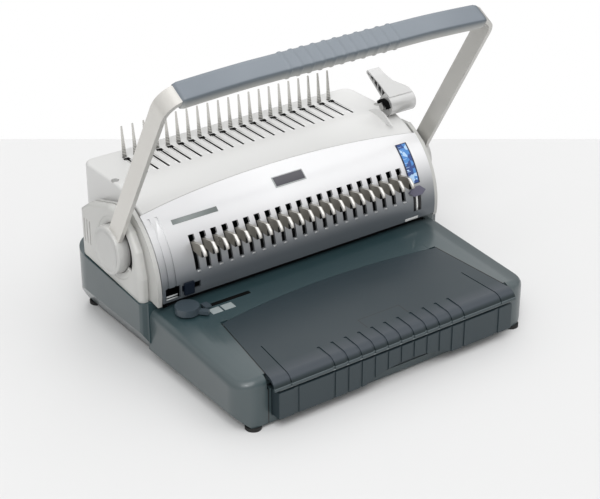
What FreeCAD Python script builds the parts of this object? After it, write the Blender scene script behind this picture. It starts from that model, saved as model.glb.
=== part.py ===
import FreeCAD, Part
import math
import os
import Sketcher
from FreeCAD import Placement, Rotation, Vector

# Punch and bind machine for plastic comb bindings, X to the right, front at -Y, floor at Z = 0

doc = FreeCAD.newDocument("CombBinder")
sheet = doc.addObject("Spreadsheet::Sheet", "Sizes")

SIZES = {
    # comb pitch and the row of holes
    "ring_count": 21, "ring_pitch": 14.2875,
    # general walls, gaps and the cutting overrun
    "wall": 3, "gap": 1, "slim_gap": 0.6, "run_gap": 0.05, "overrun": 5, "sheet_steel": 3,
    # curved housing seen as a drum lying along X
    "drum_y": 88, "drum_z": 90, "drum_radius": 95, "panel_low": 6.5,
    "seam_mid_y": 48.5, "seam_radius": 1280, "seam_gap": 0.5,
    # front slots and the tall end grooves
    "slot_wide": 5.8, "slot_top": 34, "slot_low": 10, "notch_wide": 7.4, "notch_drop": 4,
    "groove_wide": 2.6, "groove_deep": 1.2,
    "groove_low": 1, "groove_high": 52,
    # top cover
    "cover_half": 187, "cover_corner": 14, "cover_low": 73,
    "top_slot_wide": 2.8, "top_slot_front": 94.4, "top_slot_rear": 141,
    "top_notch_wide": 6.6, "top_notch_deep": 6, "screw_y": 97,
    "screw_well": 4.5, "screw_well_deep": 1.6, "screw_head": 3.8, "screw_rise": 1.2,
    # tall tines
    "tine_root": 5, "tine_tip": 1.6, "tine_thick": 1.5, "tine_y": 143.5, "tine_high": 36.5,
    "tine_lean": 6, "tine_bar_high": 8, "tine_bar_deep": 6,
    # base
    "base_front": 167, "base_low": 4, "base_corner": 24,
    "deck_rear_z": 70, "deck_front_z": 60.2, "deck_break": 7,
    "edge_fall": 5.5,
    "side_low_z": 17, "ear_base_top": 86,
    "ear_base_front_top": 76, "ear_step_y": 8, "deck_edge": 23, "deck_round": 70, "rim_round": 9,
    "rear_corner": 50, "step_round": 4,
    "plate_thick": 2.5, "foot_radius": 9,
    # storage lid and its tray
    "lid_rear_y": 46, "lid_rear_bow": 13, "lid_bow_half": 148.5,
    "lid_lip_z": 48, "lid_round": 13, "lid_thick": 3.2,
    "lid_pin_y": 62, "lid_pin_radius": 1.1,
    "grip_groove_count": 11, "grip_groove_pitch": 17.7, "grip_groove_wide": 3.2,
    "grip_groove_deep": 1, "grip_groove_back": 150, "tray_floor": 47, "hinge_drop": 9,
    "step_wide": 1.4, "step_in_y": 117,
    # waste drawer
    "drawer_low": 13, "drawer_high": 44.5,
    "drawer_rear": 44, "drawer_wall": 2.4, "drawer_face": 4, "drawer_arch_wide": 120,
    "drawer_arch_high": 12, "drawer_arch_x": 12,
}
SIZES.update({
    # punch: dies, pins, pressure bar and yokes
    "die_front": 3, "die_rear": 34, "die_low": 64, "throat": 2.6,
    "guide_thick": 3, "die_hole_wide": 8, "die_hole_deep": 3, "pin_y": 20, "pin_gap": 0.05,
    "pin_low": 74, "bar_low": 106, "bar_high": 120, "bar_deep": 13,
    "spacer_wide": 6, "spacer_y": 26, "tongue_top": 124,
    # main shaft with its eccentrics
    "pivot_y": 62, "pivot_z": 124, "shaft_radius": 7, "cam_radius": 22, "cam_throw": 12,
    "cam_x": 100, "cam_thick": 10, "yoke_thick": 8, "yoke_gap": 0.5, "yoke_ring": 5, "yoke_slack": 2,
    "frame_front": 8, "frame_rear": 110, 
    "frame_low_cut": 112, "frame_knee_y": 24, "frame_knee_z": 145, "frame_brow_y": 50,
    "bearing_radius": 11, "bearing_long": 7, "tie_radius": 4,
    # swinging hook comb behind the front panel
    "hook_thick": 3.4, "hook_bar_in": 84, "hook_bar_out": 91, "hook_bar_low": 22, "hook_bar_high": 29.5,
    "hook_arm_thick": 4, "hook_hub": 9, "stub_radius": 5,
    "hook_high": 29.3, "hook_brow": 27, "hook_fall": 25.8, "hook_tip_high": 22.2, "hook_tip_low": 20,
    "hook_chin": 19.3, "hook_low": 23.2, "hook_in": 87, "hook_mid": 109.5, "hook_far": 114.4,
    "hook_tip": 117.6, "hook_jaw": 111, "hook_root": 95.5, "pointer_low": 11.6, "pointer_high": 18,
    "pointer_wide": 24, "pointer_waist": 5.5, "pointer_stem": 2.6, "pointer_stem_apart": 6.6,
    "pointer_thick": 2.4,
    "pointer_slot_wide": 3.4, "pointer_slot_top": 14.4, "pointer_slot_low": 0.4,
    # sliding hooks below the top cover
    "top_bar_thick": 3, "top_bar_deep": 12,
    "top_tooth": 1.9, "top_tooth_deep": 3,
    # comb lever on its axle
    "lever_y": 67, "lever_radius": 12.5,
    "axle_radius": 4, "axle_head": 9, "axle_head_thick": 1.5,
    "lever_tip_y": 39, "lever_tip_high": 33, "lever_tip_low": 28.5, "lever_bend_y": 26, "lever_bend_z": 28.5,
    "lever_waist_y": 14, "lever_waist_z": 23, "lever_crest_y": 2, "lever_crest_z": 16.5, "lever_front": 6,
    "lever_under": 8, "pocket_deep": 2.5, "pocket_wall": 1.1, "pocket_rib": 1, "pocket_count": 5,
    "lug_thick": 6, "lug_radius": 6.5, "cam_rest": 30,
    # handle
    "arm_thick": 5, "arm_wide": 22, "arm_long": 252, "arm_bend": 27,
    "handle_lean": 29.6, "grip_half": 196, "grip_deep": 28, "grip_thick": 13.5, "grip_rise": 9,
    "grip_arch": 5.5,
    "rib_count": 11, "rib_pitch": 14, "rib_wide": 4, "rib_high": 0.9, "grip_flat": 88,
    "cap_radius": 25, "cap_thick": 4, "cap_rim": 3, "arm_foot": 13,
    # end caps
    "ear_rear_y": 147, "ear_front_y": 12, "ear_shoulder_z": 136, "ear_back_y": 120,
    "ear_back_z": 155.5, "ear_crown_y": 76, "ear_crown_z": 169, "ear_peak_y": 58, "ear_peak_z": 169.5,
    "ear_brow_y": 33, "ear_brow_z": 154, "ear_temple_y": 19, "ear_temple_z": 134, "ear_cheek_z": 104,
    "ear_rear_round": 17,
    "ear_round": 6, "recess_radius": 36, "recess_deep": 4,
    "band_wide": 4.5, "band_deep": 2, "band_gap": 2.2, "trim_in": 60, "trim_radius": 93.6,
    "trim_low": 9, "trim_high": 66, "hub_block": 9, "vent_count": 3, "vent_pitch": 6,
    # deck fittings
    "knob_x": 168.5, "knob_y": 21.7, "knob_radius": 13.5, "knob_high": 8, "knob_tail": 24,
    "knob_tail_wide": 7, "knob_stem": 4, "guide_slot_y": 22.5, "guide_slot_wide": 3.2,
    "guide_slot_in": 88, "guide_slot_out": 150, "tab_long": 8, "tab_high": 1.8, "tab_foot": 10,
    "window_low": 81, "window_high": 96,
    "slider_low": 83, "slider_high": 97, "slider_rise": 3,
    "slider_travel": 10, "scale_low": 20, "scale_high": 50.5,
    "scale_thick": 0.5,
    # overlaps, insets and clearances between the pieces
    "lever_rise": 11.5, "top_bar_drop": 16.6, "frame_drop": 17, "panel_top": 80, "slide_gap": 0.3,
    "panel_over": 2, "groove_out_in": 7, "groove_in_in": 16.5, "screw_in": 5, "frame_inset": 9,
    "hook_arm_inset": 8,
    "ear_wide": 16, "arm_clear": 3, "ear_shelf": 2, "side_step": 10, "side_draft": 14, "foot_inset": 6,
    "lid_front_inset": 33, "drawer_inset": 39, "bar_inset": 13, "top_bar_inset": 6, "lever_overlap": 17,
    "lever_hub_wide": 36.5, "lever_arm_wide": 18, "lever_flare_wide": 35, "window_in_inset": 22,
    "window_wide": 18.5, "slider_inset": 26, "slider_wide": 12, "scale_inset": 19.5, "scale_wide": 16,
    "pointer_inset": 26.5, "drawer_proud": 13, "nose_setback": 20, "brow_setback": 2, "cover_inset_y": 16,
    "roof_deep": 76, "foot_front_inset": 7, "foot_rear_inset": 16, "step_in_inset": 61, "step_out_inset": 55,
    "tray_inset": 58, "lid_root_inset": 57.5, "pin_in_inset": 56, "pin_long": 14, "tray_setback": 1.2,
    "split_setback": 21,
})


class Term:
    """A size with its spreadsheet formula and its present value"""

    def __init__(self, text, value):
        self.text = text
        self.value = float(value)

    def mix(self, other, sign, value):
        return Term("(%s %s %s)" % (self.text, sign, term(other).text), value)

    def __add__(self, other):
        return self.mix(other, "+", self.value + term(other).value)

    def __sub__(self, other):
        return self.mix(other, "-", self.value - term(other).value)

    def __mul__(self, other):
        return self.mix(other, "*", self.value * term(other).value)

    def __truediv__(self, other):
        return self.mix(other, "/", self.value / term(other).value)

    def __neg__(self):
        return Term("(0 - %s)" % self.text, -self.value)

    def __radd__(self, other):
        return term(other) + self

    def __rsub__(self, other):
        return term(other) - self

    def __rmul__(self, other):
        return term(other) * self


def term(thing):
    """Any number or size as a Term"""
    if isinstance(thing, Term):
        return thing
    return Term(repr(float(thing)), thing)


def sine(angle):
    angle = term(angle)
    return Term("sin(%s)" % angle.text, math.sin(math.radians(angle.value)))


def cosine(angle):
    angle = term(angle)
    return Term("cos(%s)" % angle.text, math.cos(math.radians(angle.value)))


def arctangent(share):
    return Term("atan(%s)" % share.text, math.degrees(math.atan(share.value)))


class Names:
    """Every size of the sheet under its own word"""


d = Names()
for row, (word, number) in enumerate(SIZES.items(), 1):
    sheet.set("A%d" % row, word)
    sheet.set("B%d" % row, str(number))
    sheet.setAlias("B%d" % row, word)
    setattr(d, word, Term("Sizes." + word, number))
doc.recompute()

# Places that follow from the sizes

d.lever_z = d.drum_z + d.drum_radius + d.lever_rise
d.top_bar_low = d.drum_z + d.drum_radius - d.top_bar_drop
d.frame_top = d.drum_z + d.drum_radius - d.frame_drop
d.panel_half = d.cover_half + d.panel_over
d.groove_out_x = d.panel_half - d.groove_out_in
d.groove_in_x = d.panel_half - d.groove_in_in
d.screw_x = d.cover_half - d.screw_in
d.frame_in_x = d.cover_half - d.frame_inset
d.hook_arm_x = d.frame_in_x - d.hook_arm_inset
d.die_half = d.frame_in_x
d.bar_half = d.frame_in_x - d.bar_inset
d.top_bar_half = d.cover_half - d.top_bar_inset
d.ear_in_x = d.panel_half + d.gap
d.ear_out_x = d.ear_in_x + d.ear_wide
d.arm_in_x = d.ear_out_x + d.arm_clear
d.ear_base_half = d.ear_out_x + d.ear_shelf
d.side_front_half = d.ear_base_half - d.side_step
d.side_low_half = d.side_front_half - d.side_draft
d.foot_x = d.side_low_half - d.foot_inset
d.lid_front_half = d.side_front_half - d.lid_front_inset
d.lid_root_half = d.side_front_half - d.lid_root_inset
d.tray_half = d.side_front_half - d.tray_inset
d.lid_pin_in = d.side_front_half - d.pin_in_inset
d.lid_pin_out = d.lid_pin_in + d.pin_long
d.drawer_half = d.side_front_half - d.drawer_inset
d.step_in_x = d.side_front_half - d.step_in_inset
d.step_out_x = d.side_front_half - d.step_out_inset
d.lever_in_x = d.cover_half - d.lever_overlap
d.lever_out_x = d.lever_in_x + d.lever_hub_wide
d.lever_arm_out = d.lever_in_x + d.lever_arm_wide
d.lever_flare_out = d.lever_in_x + d.lever_flare_wide
d.window_in = d.panel_half - d.window_in_inset
d.window_out = d.window_in + d.window_wide
d.slider_out = d.panel_half - d.slider_inset
d.slider_in = d.slider_out - d.slider_wide
d.scale_out = d.panel_half - d.scale_inset
d.scale_in = d.scale_out - d.scale_wide
d.pointer_x = d.panel_half - d.pointer_inset
d.drawer_front = d.base_front + d.drawer_proud
d.lid_front_y = d.drawer_front
d.lid_nose = d.lid_front_y - d.nose_setback
d.lid_brow = d.lid_front_y - d.brow_setback
d.cover_rear = d.drum_y + d.roof_deep
d.base_rear = d.cover_rear + d.cover_inset_y
d.foot_front = d.base_front - d.foot_front_inset
d.foot_rear = d.base_rear - d.foot_rear_inset
d.ear_split_y = d.ear_rear_y - d.split_setback
d.tray_rear = d.lid_rear_y - d.tray_setback


def bind(thing, place, size):
    """Tie one property of an object to a size"""
    thing.setExpression(place, term(size).text)


def move_to(thing, x, y, z, axis=Vector(0, 0, 1), angle=0):
    """Place an object at sizes taken from the sheet, turned about an axis"""
    turn = term(angle)
    thing.Placement = Placement(Vector(term(x).value, term(y).value, term(z).value),
        Rotation(axis, turn.value))
    for place, size in zip("xyz", (x, y, z)):
        if isinstance(size, Term):
            bind(thing, "Placement.Base." + place, size)
    if isinstance(angle, Term):
        bind(thing, "Placement.Rotation.Angle", angle)
    return thing


def box(name, x0, x1, y0, y1, z0, z1):
    """Block between three pairs of places"""
    block = doc.addObject("Part::Box", name)
    for place, low, high in (("Length", x0, x1), ("Width", y0, y1), ("Height", z0, z1)):
        bind(block, place, term(high) - term(low))
    return move_to(block, x0, y0, z0)


def rod(name, radius, x0, x1, y, z):
    """Round bar along X"""
    bar = doc.addObject("Part::Cylinder", name)
    bind(bar, "Radius", radius)
    bind(bar, "Height", term(x1) - term(x0))
    return move_to(bar, x0, y, z, Vector(0, 1, 0), 90)


def post(name, radius, x, y, z0, z1):
    """Round bar along Z"""
    bar = doc.addObject("Part::Cylinder", name)
    bind(bar, "Radius", radius)
    bind(bar, "Height", term(z1) - term(z0))
    return move_to(bar, x, y, z0)


def join(name, first, *others):
    """Union of several objects"""
    fused = doc.addObject("Part::MultiFuse", name)
    fused.Shapes = [first] + list(others)
    fused.Refine = True
    return fused


def cut(name, base, *tools):
    """Take tools away from a base"""
    tool = tools[0] if len(tools) == 1 else join(name + "Tools", *tools)
    result = doc.addObject("Part::Cut", name)
    result.Base = base
    result.Tool = tool
    result.Refine = True
    return result


def both(name, *parts):
    """What several objects share"""
    shared = doc.addObject("Part::MultiCommon", name)
    shared.Shapes = list(parts)
    shared.Refine = True
    return shared


def mirrored(name, source):
    """Copy on the other side of the middle plane"""
    twin = doc.addObject("Part::Mirroring", name)
    twin.Source = source
    twin.Normal = (1, 0, 0)
    return twin


def pair(name, source):
    """Both sides of a symmetrical piece as one object"""
    couple = doc.addObject("Part::Compound", name)
    couple.Links = [source, mirrored(name + "Twin", source)]
    return couple


def plane_of(body, role):
    return [item for item in body.Origin.OriginFeatures if item.Role == role][0]


def outline(body, name, role, points):
    """Closed sketch whose corners are tied to sizes"""
    sketch = body.newObject("Sketcher::SketchObject", name)
    sketch.AttachmentSupport = [(plane_of(body, role), "")]
    sketch.MapMode = "FlatFace"
    corners = [(term(a), term(b)) for a, b in points]
    count = len(corners)
    for number, (a, b) in enumerate(corners):
        after = corners[(number + 1) % count]
        start = Vector(a.value, b.value, 0)
        sketch.addGeometry(Part.LineSegment(start, Vector(after[0].value, after[1].value, 0)), False)
    for number in range(count):
        sketch.addConstraint(Sketcher.Constraint("Coincident", number, 2, (number + 1) % count, 1))
    for number, pairing in enumerate(corners):
        for kind, size in zip(("DistanceX", "DistanceY"), pairing):
            place = sketch.addConstraint(Sketcher.Constraint(kind, -1, 1, number, 1, size.value))
            if "Sizes" in size.text:
                bind(sketch, "Constraints[%d]" % place, size)
    return sketch


def prism(name, role, points, low, high):
    """Sketched outline padded between two levels along its normal"""
    body = doc.addObject("PartDesign::Body", name)
    sketch = outline(body, name + "Sketch", role, points)
    pad = body.newObject("PartDesign::Pad", name + "Pad")
    pad.Profile = sketch
    bind(pad, "Length", term(high) - term(low))
    if role == "YZ_Plane":
        return move_to(body, low, 0, 0)
    if role == "XZ_Plane":
        return move_to(body, 0, -term(low), 0)
    return move_to(body, 0, 0, low)


def rounded(name, body, radius, chosen):
    """Fillet on the edges of a body's tip that a test picks out"""
    doc.recompute()
    tip = body.Tip
    fillet = body.newObject("PartDesign::Fillet", name)
    names = ["Edge%d" % (n + 1) for n, edge in enumerate(tip.Shape.Edges) if chosen(edge)]
    fillet.Base = (tip, names)
    bind(fillet, "Radius", radius)
    return body


def turned(name, points):
    """Outline in X and radius turned about the X axis"""
    body = doc.addObject("PartDesign::Body", name)
    sketch = outline(body, name + "Sketch", "XY_Plane", points)
    spin = body.newObject("PartDesign::Revolution", name + "Turn")
    spin.Profile = sketch
    spin.ReferenceAxis = (sketch, ["H_Axis"])
    spin.Angle = 360
    return body


def row(name, source, pitch, count, first):
    """The same shape repeated along X"""
    items = []
    for number in range(int(count.value)):
        copy = doc.addObject("Part::Feature", "%s%d" % (name, number))
        copy.Shape = source.Shape
        items.append(copy)
        copy.Placement = Placement(Vector(first.value + pitch.value * number, 0, 0),
            Rotation()) * source.Placement
    return items


def on_drum(radius, angle):
    """Point of the drum at a radius and an angle above the front"""
    return d.drum_y - term(radius) * cosine(angle), d.drum_z + term(radius) * sine(angle)


def wedge(name, inner, outer, low, high, x0, x1):
    """Part of a ring about the drum's axis between two angles"""
    ring = doc.addObject("Part::Cylinder", name + "Ring")
    bind(ring, "Radius", outer)
    bind(ring, "Height", term(x1) - term(x0))
    bind(ring, "Angle", term(high) - term(low))
    turn = Rotation(Vector(1, 0, 0), -term(high).value - 180)
    turn = turn * Rotation(Vector(0, 1, 0), 90) * Rotation(Vector(0, 0, 1), 90)
    ring.Placement = Placement(Vector(term(x0).value, d.drum_y.value, d.drum_z.value), turn)
    core = rod(name + "Core", inner, term(x0) - d.gap, term(x1) + d.gap, d.drum_y, d.drum_z)
    return cut(name, ring, core)


first_ring = (d.ring_count - 1) * d.ring_pitch * -0.5
NODES = {}


def node(label, thing):
    """Give a finished piece its node name"""
    thing.Label = label
    NODES[label] = thing
    return thing


# Curved front panel with its row of slots

panel_ring = wedge("PanelRing", d.drum_radius - d.wall, d.drum_radius, -d.panel_low, d.panel_top,
    -d.panel_half, d.panel_half)
seam = post("Seam", d.seam_radius, 0, d.seam_mid_y - d.seam_radius, 0, d.drum_radius * 3)
panel_blank = both("PanelBlank", panel_ring, seam)
slot_in = d.drum_radius - d.wall * 2
slot_out = d.drum_radius + d.wall
slot_cut = wedge("SlotCut", slot_in, slot_out, d.slot_low, d.slot_top, d.slot_wide * -0.5, d.slot_wide * 0.5)
notch_left = d.slot_wide * -0.5
notch_cut = wedge("NotchCut", slot_in, slot_out, d.slot_top - d.notch_drop, d.slot_top,
                  notch_left, notch_left + d.notch_wide)
doc.recompute()
slots = row("Slot", slot_cut, d.ring_pitch, d.ring_count, first_ring)
notches = row("Notch", notch_cut, d.ring_pitch, d.ring_count, first_ring)
panel_cuts = slots + notches
shallow = d.drum_radius - d.groove_deep
for word, middle in (("Outer", d.groove_out_x), ("Inner", d.groove_in_x)):
    panel_cuts.append(wedge(word + "Groove", shallow, slot_out, d.groove_low, d.groove_high,
                            -middle - d.groove_wide * 0.5, -middle + d.groove_wide * 0.5))
for number in (-1, 1):
    middle = d.pointer_x + d.pointer_stem_apart * 0.5 * number
    panel_cuts.append(wedge("PointerSlot%d" % (number + 1), slot_in, slot_out, d.pointer_slot_low,
        d.pointer_slot_top,
                            middle - d.pointer_slot_wide * 0.5, middle + d.pointer_slot_wide * 0.5))
panel_cuts.append(box("SliderWindow", -d.window_out, -d.window_in, -d.overrun * 3, d.drum_y * 0.5,
                      d.window_low, d.window_high))
panel_cuts.append(box("NavyWindow", -(d.slider_out + d.slider_travel * 0.1 + d.gap),
    -(d.slider_in - d.slider_travel),
                      -d.overrun * 3, d.drum_y * 0.5, d.slider_low + d.wall, d.slider_high - d.wall))
front_panel = node("front_panel", cut("FrontPanel", panel_blank, *panel_cuts))

# Scale strip stuck on the panel beside the pointer

scale_strip = node("scale_strip", wedge("ScaleStrip", d.drum_radius, d.drum_radius + d.scale_thick,
                                        d.scale_low, d.scale_high, d.scale_in, d.scale_out))

# Top cover: the drum carried on as a flat roof with closed sides and a rear wall

roof_z = d.drum_z + d.drum_radius


def cover_solid(name, inset, low):
    """Drum front and flat roof as one solid with rounded rear corners, set in from the outside"""
    half = d.cover_half - inset
    drum = rod(name + "Drum", d.drum_radius - inset, -half, half, d.drum_y, d.drum_z)
    front = box(name + "Front", -half, half, -d.drum_radius, d.drum_y, low, roof_z)
    roof = box(name + "Roof", -half, half, d.drum_y, d.cover_rear - inset, low, roof_z - inset)
    plan = prism(name + "Plan", "XY_Plane", [
        (-half, -d.drum_radius), (half, -d.drum_radius), (half, d.cover_rear - inset),
        (-half, d.cover_rear - inset)],
        low, roof_z)
    rounded(name + "Corners", plan, d.cover_corner - inset,
            lambda edge: edge.BoundBox.ZLength > d.cover_corner.value and edge.BoundBox.YMin > d.drum_y.value)
    return both(name, join(name + "Mass", both(name + "FrontMass", drum, front), roof), plan)


cover_block = cover_solid("CoverBlock", d.wall * 0, d.cover_low)
rounded_roof = doc.addObject("Part::Fillet", "RoofRound")
rounded_roof.Base = cover_block
doc.recompute()
rear_edges = [n + 1 for n, edge in enumerate(cover_block.Shape.Edges)
              if edge.BoundBox.ZMin > roof_z.value - 0.01
              and edge.BoundBox.YMax > (d.cover_rear - d.cover_corner - d.overrun).value
              and edge.BoundBox.YMin > d.drum_y.value + 1]
rounded_roof.Edges = [(n, d.wall.value, d.wall.value) for n in rear_edges]
cover_inner = cover_solid("CoverInner", d.wall, d.cover_low - d.gap)
seam_cut = post("SeamCut", d.seam_radius + d.seam_gap, 0, d.seam_mid_y - d.seam_radius, 0, d.drum_radius * 3)
low_cut = box("CoverLowCut", -d.panel_half * 2, d.panel_half * 2, -d.drum_radius, d.drum_y + d.wall,
              -d.drum_radius, d.drum_z + d.shaft_radius * 2)
top_slot = box("TopSlot", d.top_slot_wide * -0.5, d.top_slot_wide * 0.5, d.top_slot_front, d.top_slot_rear,
               roof_z - d.wall * 2, roof_z + d.gap)
top_notch = box("TopNotch", d.top_notch_wide * -0.5 - d.gap, d.top_notch_wide * 0.5 - d.gap,
                d.top_slot_rear - d.top_notch_deep, d.top_slot_rear, roof_z - d.wall * 2, roof_z + d.gap)
tine_slot = box("TineSlot", d.tine_root * -0.5 - d.slide_gap, d.tine_root * 0.5 + d.slide_gap,
    d.tine_y - d.gap * 1.6,
                d.tine_y + d.gap * 2, roof_z - d.wall * 2, roof_z + d.gap)
doc.recompute()
cover_cuts = [cover_inner, seam_cut, low_cut]
cover_cuts += row("TineHole", tine_slot, d.ring_pitch, d.ring_count, first_ring)
cover_cuts += row("RoofSlot", top_slot, d.ring_pitch, d.ring_count, first_ring)
cover_cuts += row("RoofNotch", top_notch, d.ring_pitch, d.ring_count, first_ring)
for side in (-1, 1):
    cover_cuts.append(post("ScrewWell%d" % (side + 1), d.screw_well, d.screw_x * side, d.screw_y,
                           roof_z - d.screw_well_deep, roof_z + d.gap))
cover_cuts.append(rod("ShaftHole", d.shaft_radius + d.gap * 2, -d.panel_half, d.panel_half, d.pivot_y,
    d.pivot_z))
lever_recess = rod("LeverRecess", d.lever_radius + d.gap, d.lever_in_x - d.gap, d.lever_out_x + d.gap * 2,
                   d.lever_y, d.lever_z)
cover_cuts.append(lever_recess)
top_cover = node("top_cover", cut("TopCover", rounded_roof, *cover_cuts))

# Screws in the wells of the roof

screw = post("RoofScrew", d.screw_head, d.screw_x, d.screw_y, roof_z - d.screw_well_deep,
             roof_z - d.screw_well_deep + d.screw_rise)
node("cover_screws", pair("CoverScrews", screw))

# Tall fixed tines on their bar behind the roof slots

tine_foot = roof_z - d.wall - d.tine_bar_high
tine_body = prism("TineBody", "XZ_Plane", [
    (d.tine_root * -0.5, tine_foot - roof_z), (d.tine_root * 0.5, tine_foot - roof_z),
    (d.tine_root * 0.5, term(0)),
    (d.tine_tip * 0.5, d.tine_high), (d.tine_tip * -0.5, d.tine_high), (d.tine_root * -0.5, term(0))],
    d.tine_thick * -0.5, d.tine_thick * 0.5)
move_to(tine_body, 0, d.tine_y + d.tine_thick * 0.5, roof_z, Vector(1, 0, 0), -d.tine_lean)
tine_bar = box("TineBar", first_ring - d.ring_pitch * 0.5, -first_ring + d.ring_pitch * 0.5,
               d.tine_y - d.tine_bar_deep * 0.5 - d.gap, d.tine_y + d.tine_bar_deep * 0.5 - d.gap,
               tine_foot, roof_z - d.wall)
doc.recompute()
tines = row("Tine", tine_body, d.ring_pitch, d.ring_count, first_ring)
node("tine_strip", join("TineStrip", tine_bar, *tines))

# Base housing: sloping front deck, wider rear blocks under the end caps


def deck_at(y):
    """Height of the sloping deck at a depth"""
    share = (term(y) + d.deck_break) / (d.lid_nose - d.deck_break) * -1
    return d.deck_rear_z - (d.deck_rear_z - d.deck_front_z) * share


deck_end = d.ear_step_y + d.overrun * 2
deck_tilt = arctangent((d.deck_rear_z - d.deck_front_z) / (d.lid_nose - d.deck_break))
brim = d.side_front_half + d.overrun
crease = d.side_front_half - d.deck_edge
brim_z = -d.edge_fall * (brim - crease) / d.deck_edge
deck_body = prism("DeckBody", "XZ_Plane", [
    (-brim, -d.drum_z), (brim, -d.drum_z), (brim, brim_z), (crease, term(0)), (-crease, term(0)),
    (-brim, brim_z)],
    term(0), d.base_front + deck_end * 2)
rounded("DeckRound", deck_body, d.deck_round, lambda edge: edge.BoundBox.YLength > d.drum_y.value and
        abs(abs(edge.BoundBox.XMax) - crease.value) < 0.1)
move_to(deck_body, 0, deck_end, deck_at(deck_end), Vector(1, 0, 0), deck_tilt)
skirt = prism("Skirt", "XZ_Plane", [
    (-d.side_low_half, d.base_low), (d.side_low_half, d.base_low), (d.side_front_half, d.side_low_z),
    (d.side_front_half, d.drum_z), (-d.side_front_half, d.drum_z), (-d.side_front_half, d.side_low_z)],
    -d.ear_step_y - d.overrun, d.base_front + d.gap)
rear_front = prism("RearFront", "XZ_Plane", [
    (-d.side_low_half, d.base_low), (d.side_low_half, d.base_low), (d.ear_base_half, d.side_low_z * 2.4),
    (d.ear_base_half, d.ear_base_top + d.wall), (-d.ear_base_half, d.ear_base_top + d.wall),
    (-d.ear_base_half, d.side_low_z * 2.4)], -d.base_rear, -d.ear_step_y)
rear_side = prism("RearSide", "YZ_Plane", [
    (d.ear_step_y, d.base_low), (d.base_rear - d.wall * 2, d.base_low), (d.base_rear, d.side_low_z),
    (d.base_rear, d.ear_base_top), (d.ear_rear_y, d.ear_base_top), (d.ear_step_y, d.ear_base_front_top)],
    -d.ear_base_half, d.ear_base_half)
rear_block = both("RearBlock", rear_front, rear_side)
base_plan = prism("BasePlan", "XY_Plane", [
    (-d.side_front_half, -d.base_front), (d.side_front_half, -d.base_front),
    (d.side_front_half, d.ear_step_y),
    (d.ear_base_half, d.ear_step_y + d.wall), (d.ear_base_half, d.base_rear),
    (-d.ear_base_half, d.base_rear),
    (-d.ear_base_half, d.ear_step_y + d.wall), (-d.side_front_half, d.ear_step_y)], 0, d.drum_z)
rounded("BaseFrontCorners", base_plan, d.base_corner,
        lambda edge: edge.BoundBox.ZLength > d.cover_corner.value and edge.BoundBox.YMax < -d.drum_y.value)
rounded("BaseRearCorners", base_plan, d.rear_corner,
        lambda edge: edge.BoundBox.ZLength > d.cover_corner.value and edge.BoundBox.YMin > d.drum_y.value)
rounded("StepCorners", base_plan, d.step_round, lambda edge: edge.BoundBox.ZLength > d.cover_corner.value and
        abs(edge.BoundBox.YMax - d.ear_step_y.value) < d.wall.value * 1.1)
front_block = both("FrontBlock", deck_body, skirt, base_plan)
doc.recompute()
rim_names = []
for number, edge in enumerate(front_block.Shape.Edges):
    span = edge.BoundBox
    upper = span.ZMin > d.side_low_z.value * 2 and span.YMin < -d.side_low_z.value
    rim = (span.XMax > (d.side_front_half - d.wall * 3).value or
           span.XMin < (d.wall * 3 - d.side_front_half).value)
    if upper and (rim and span.YLength > 1 or span.YMax < -d.base_front.value + 1):
        rim_names.append((number + 1, d.rim_round.value, d.rim_round.value))
rim_block = doc.addObject("Part::Fillet", "RimBlock")
rim_block.Base = front_block
rim_block.Edges = rim_names
base_block = join("BaseBlock", rim_block, both("RearMass", rear_block, base_plan))

chamber = box("Chamber", -d.cover_half + d.wall, d.cover_half - d.wall, d.gap * 2, d.cover_rear - d.wall,
              -d.gap, d.drum_radius)
cover_seat = box("CoverSeat", -d.panel_half - d.slim_gap, d.panel_half + d.slim_gap, d.gap * 2,
                 d.cover_rear + d.slim_gap, d.cover_low, d.drum_radius)
drawer_hole = box("DrawerHole", -d.drawer_half - d.gap, d.drawer_half + d.gap, -d.base_rear * 1.2,
                  d.drawer_rear + d.gap, d.drawer_low - d.gap, d.drawer_high + d.gap)


def lid_strip(name, lift, drop, grow):
    """Side outline of the lid: along the deck and down over the nose, with a thickness"""
    rear = -d.lid_rear_y + grow
    brow = -d.lid_brow - grow
    inner = -d.lid_brow + d.lid_thick
    strip = prism(name, "YZ_Plane", [
        (rear, deck_at(rear) + lift), (brow, deck_at(brow) + lift), (-d.lid_front_y - grow, d.lid_lip_z),
        (-d.lid_front_y + d.lid_thick, d.lid_lip_z), (inner, deck_at(inner) - drop),
        (rear, deck_at(rear) - drop)],
        -d.side_front_half, d.side_front_half)
    rounded(name + "Nose", strip, d.lid_round + grow,
        lambda edge: edge.BoundBox.XLength > d.cover_corner.value and
            abs(edge.BoundBox.YMin - brow.value) < 0.1)
    rounded(name + "Inner", strip, d.lid_round - d.lid_thick,
        lambda edge: edge.BoundBox.XLength > d.cover_corner.value and
            abs(edge.BoundBox.YMin - inner.value) < 0.1 and edge.BoundBox.ZMin > d.lid_lip_z.value + 1)
    return strip


def lid_plan(name, grow):
    """Plan of the lid with its bowed rear edge, grown by a gap"""
    wide = prism(name + "Trapeze", "XY_Plane", [
        (-d.lid_root_half - grow, d.base_low * 0), (d.lid_root_half + grow, d.base_low * 0),
        (d.lid_front_half + grow, -d.lid_front_y - d.overrun),
        (-d.lid_front_half - grow, -d.lid_front_y - d.overrun)],
        0, d.drum_radius)
    bow_radius = d.lid_bow_half * d.lid_bow_half / d.lid_rear_bow * 0.5
    bow = post(name + "Bow", bow_radius + grow, 0, -d.lid_rear_y - bow_radius, 0, d.drum_radius)
    return both(name, wide, bow)


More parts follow.
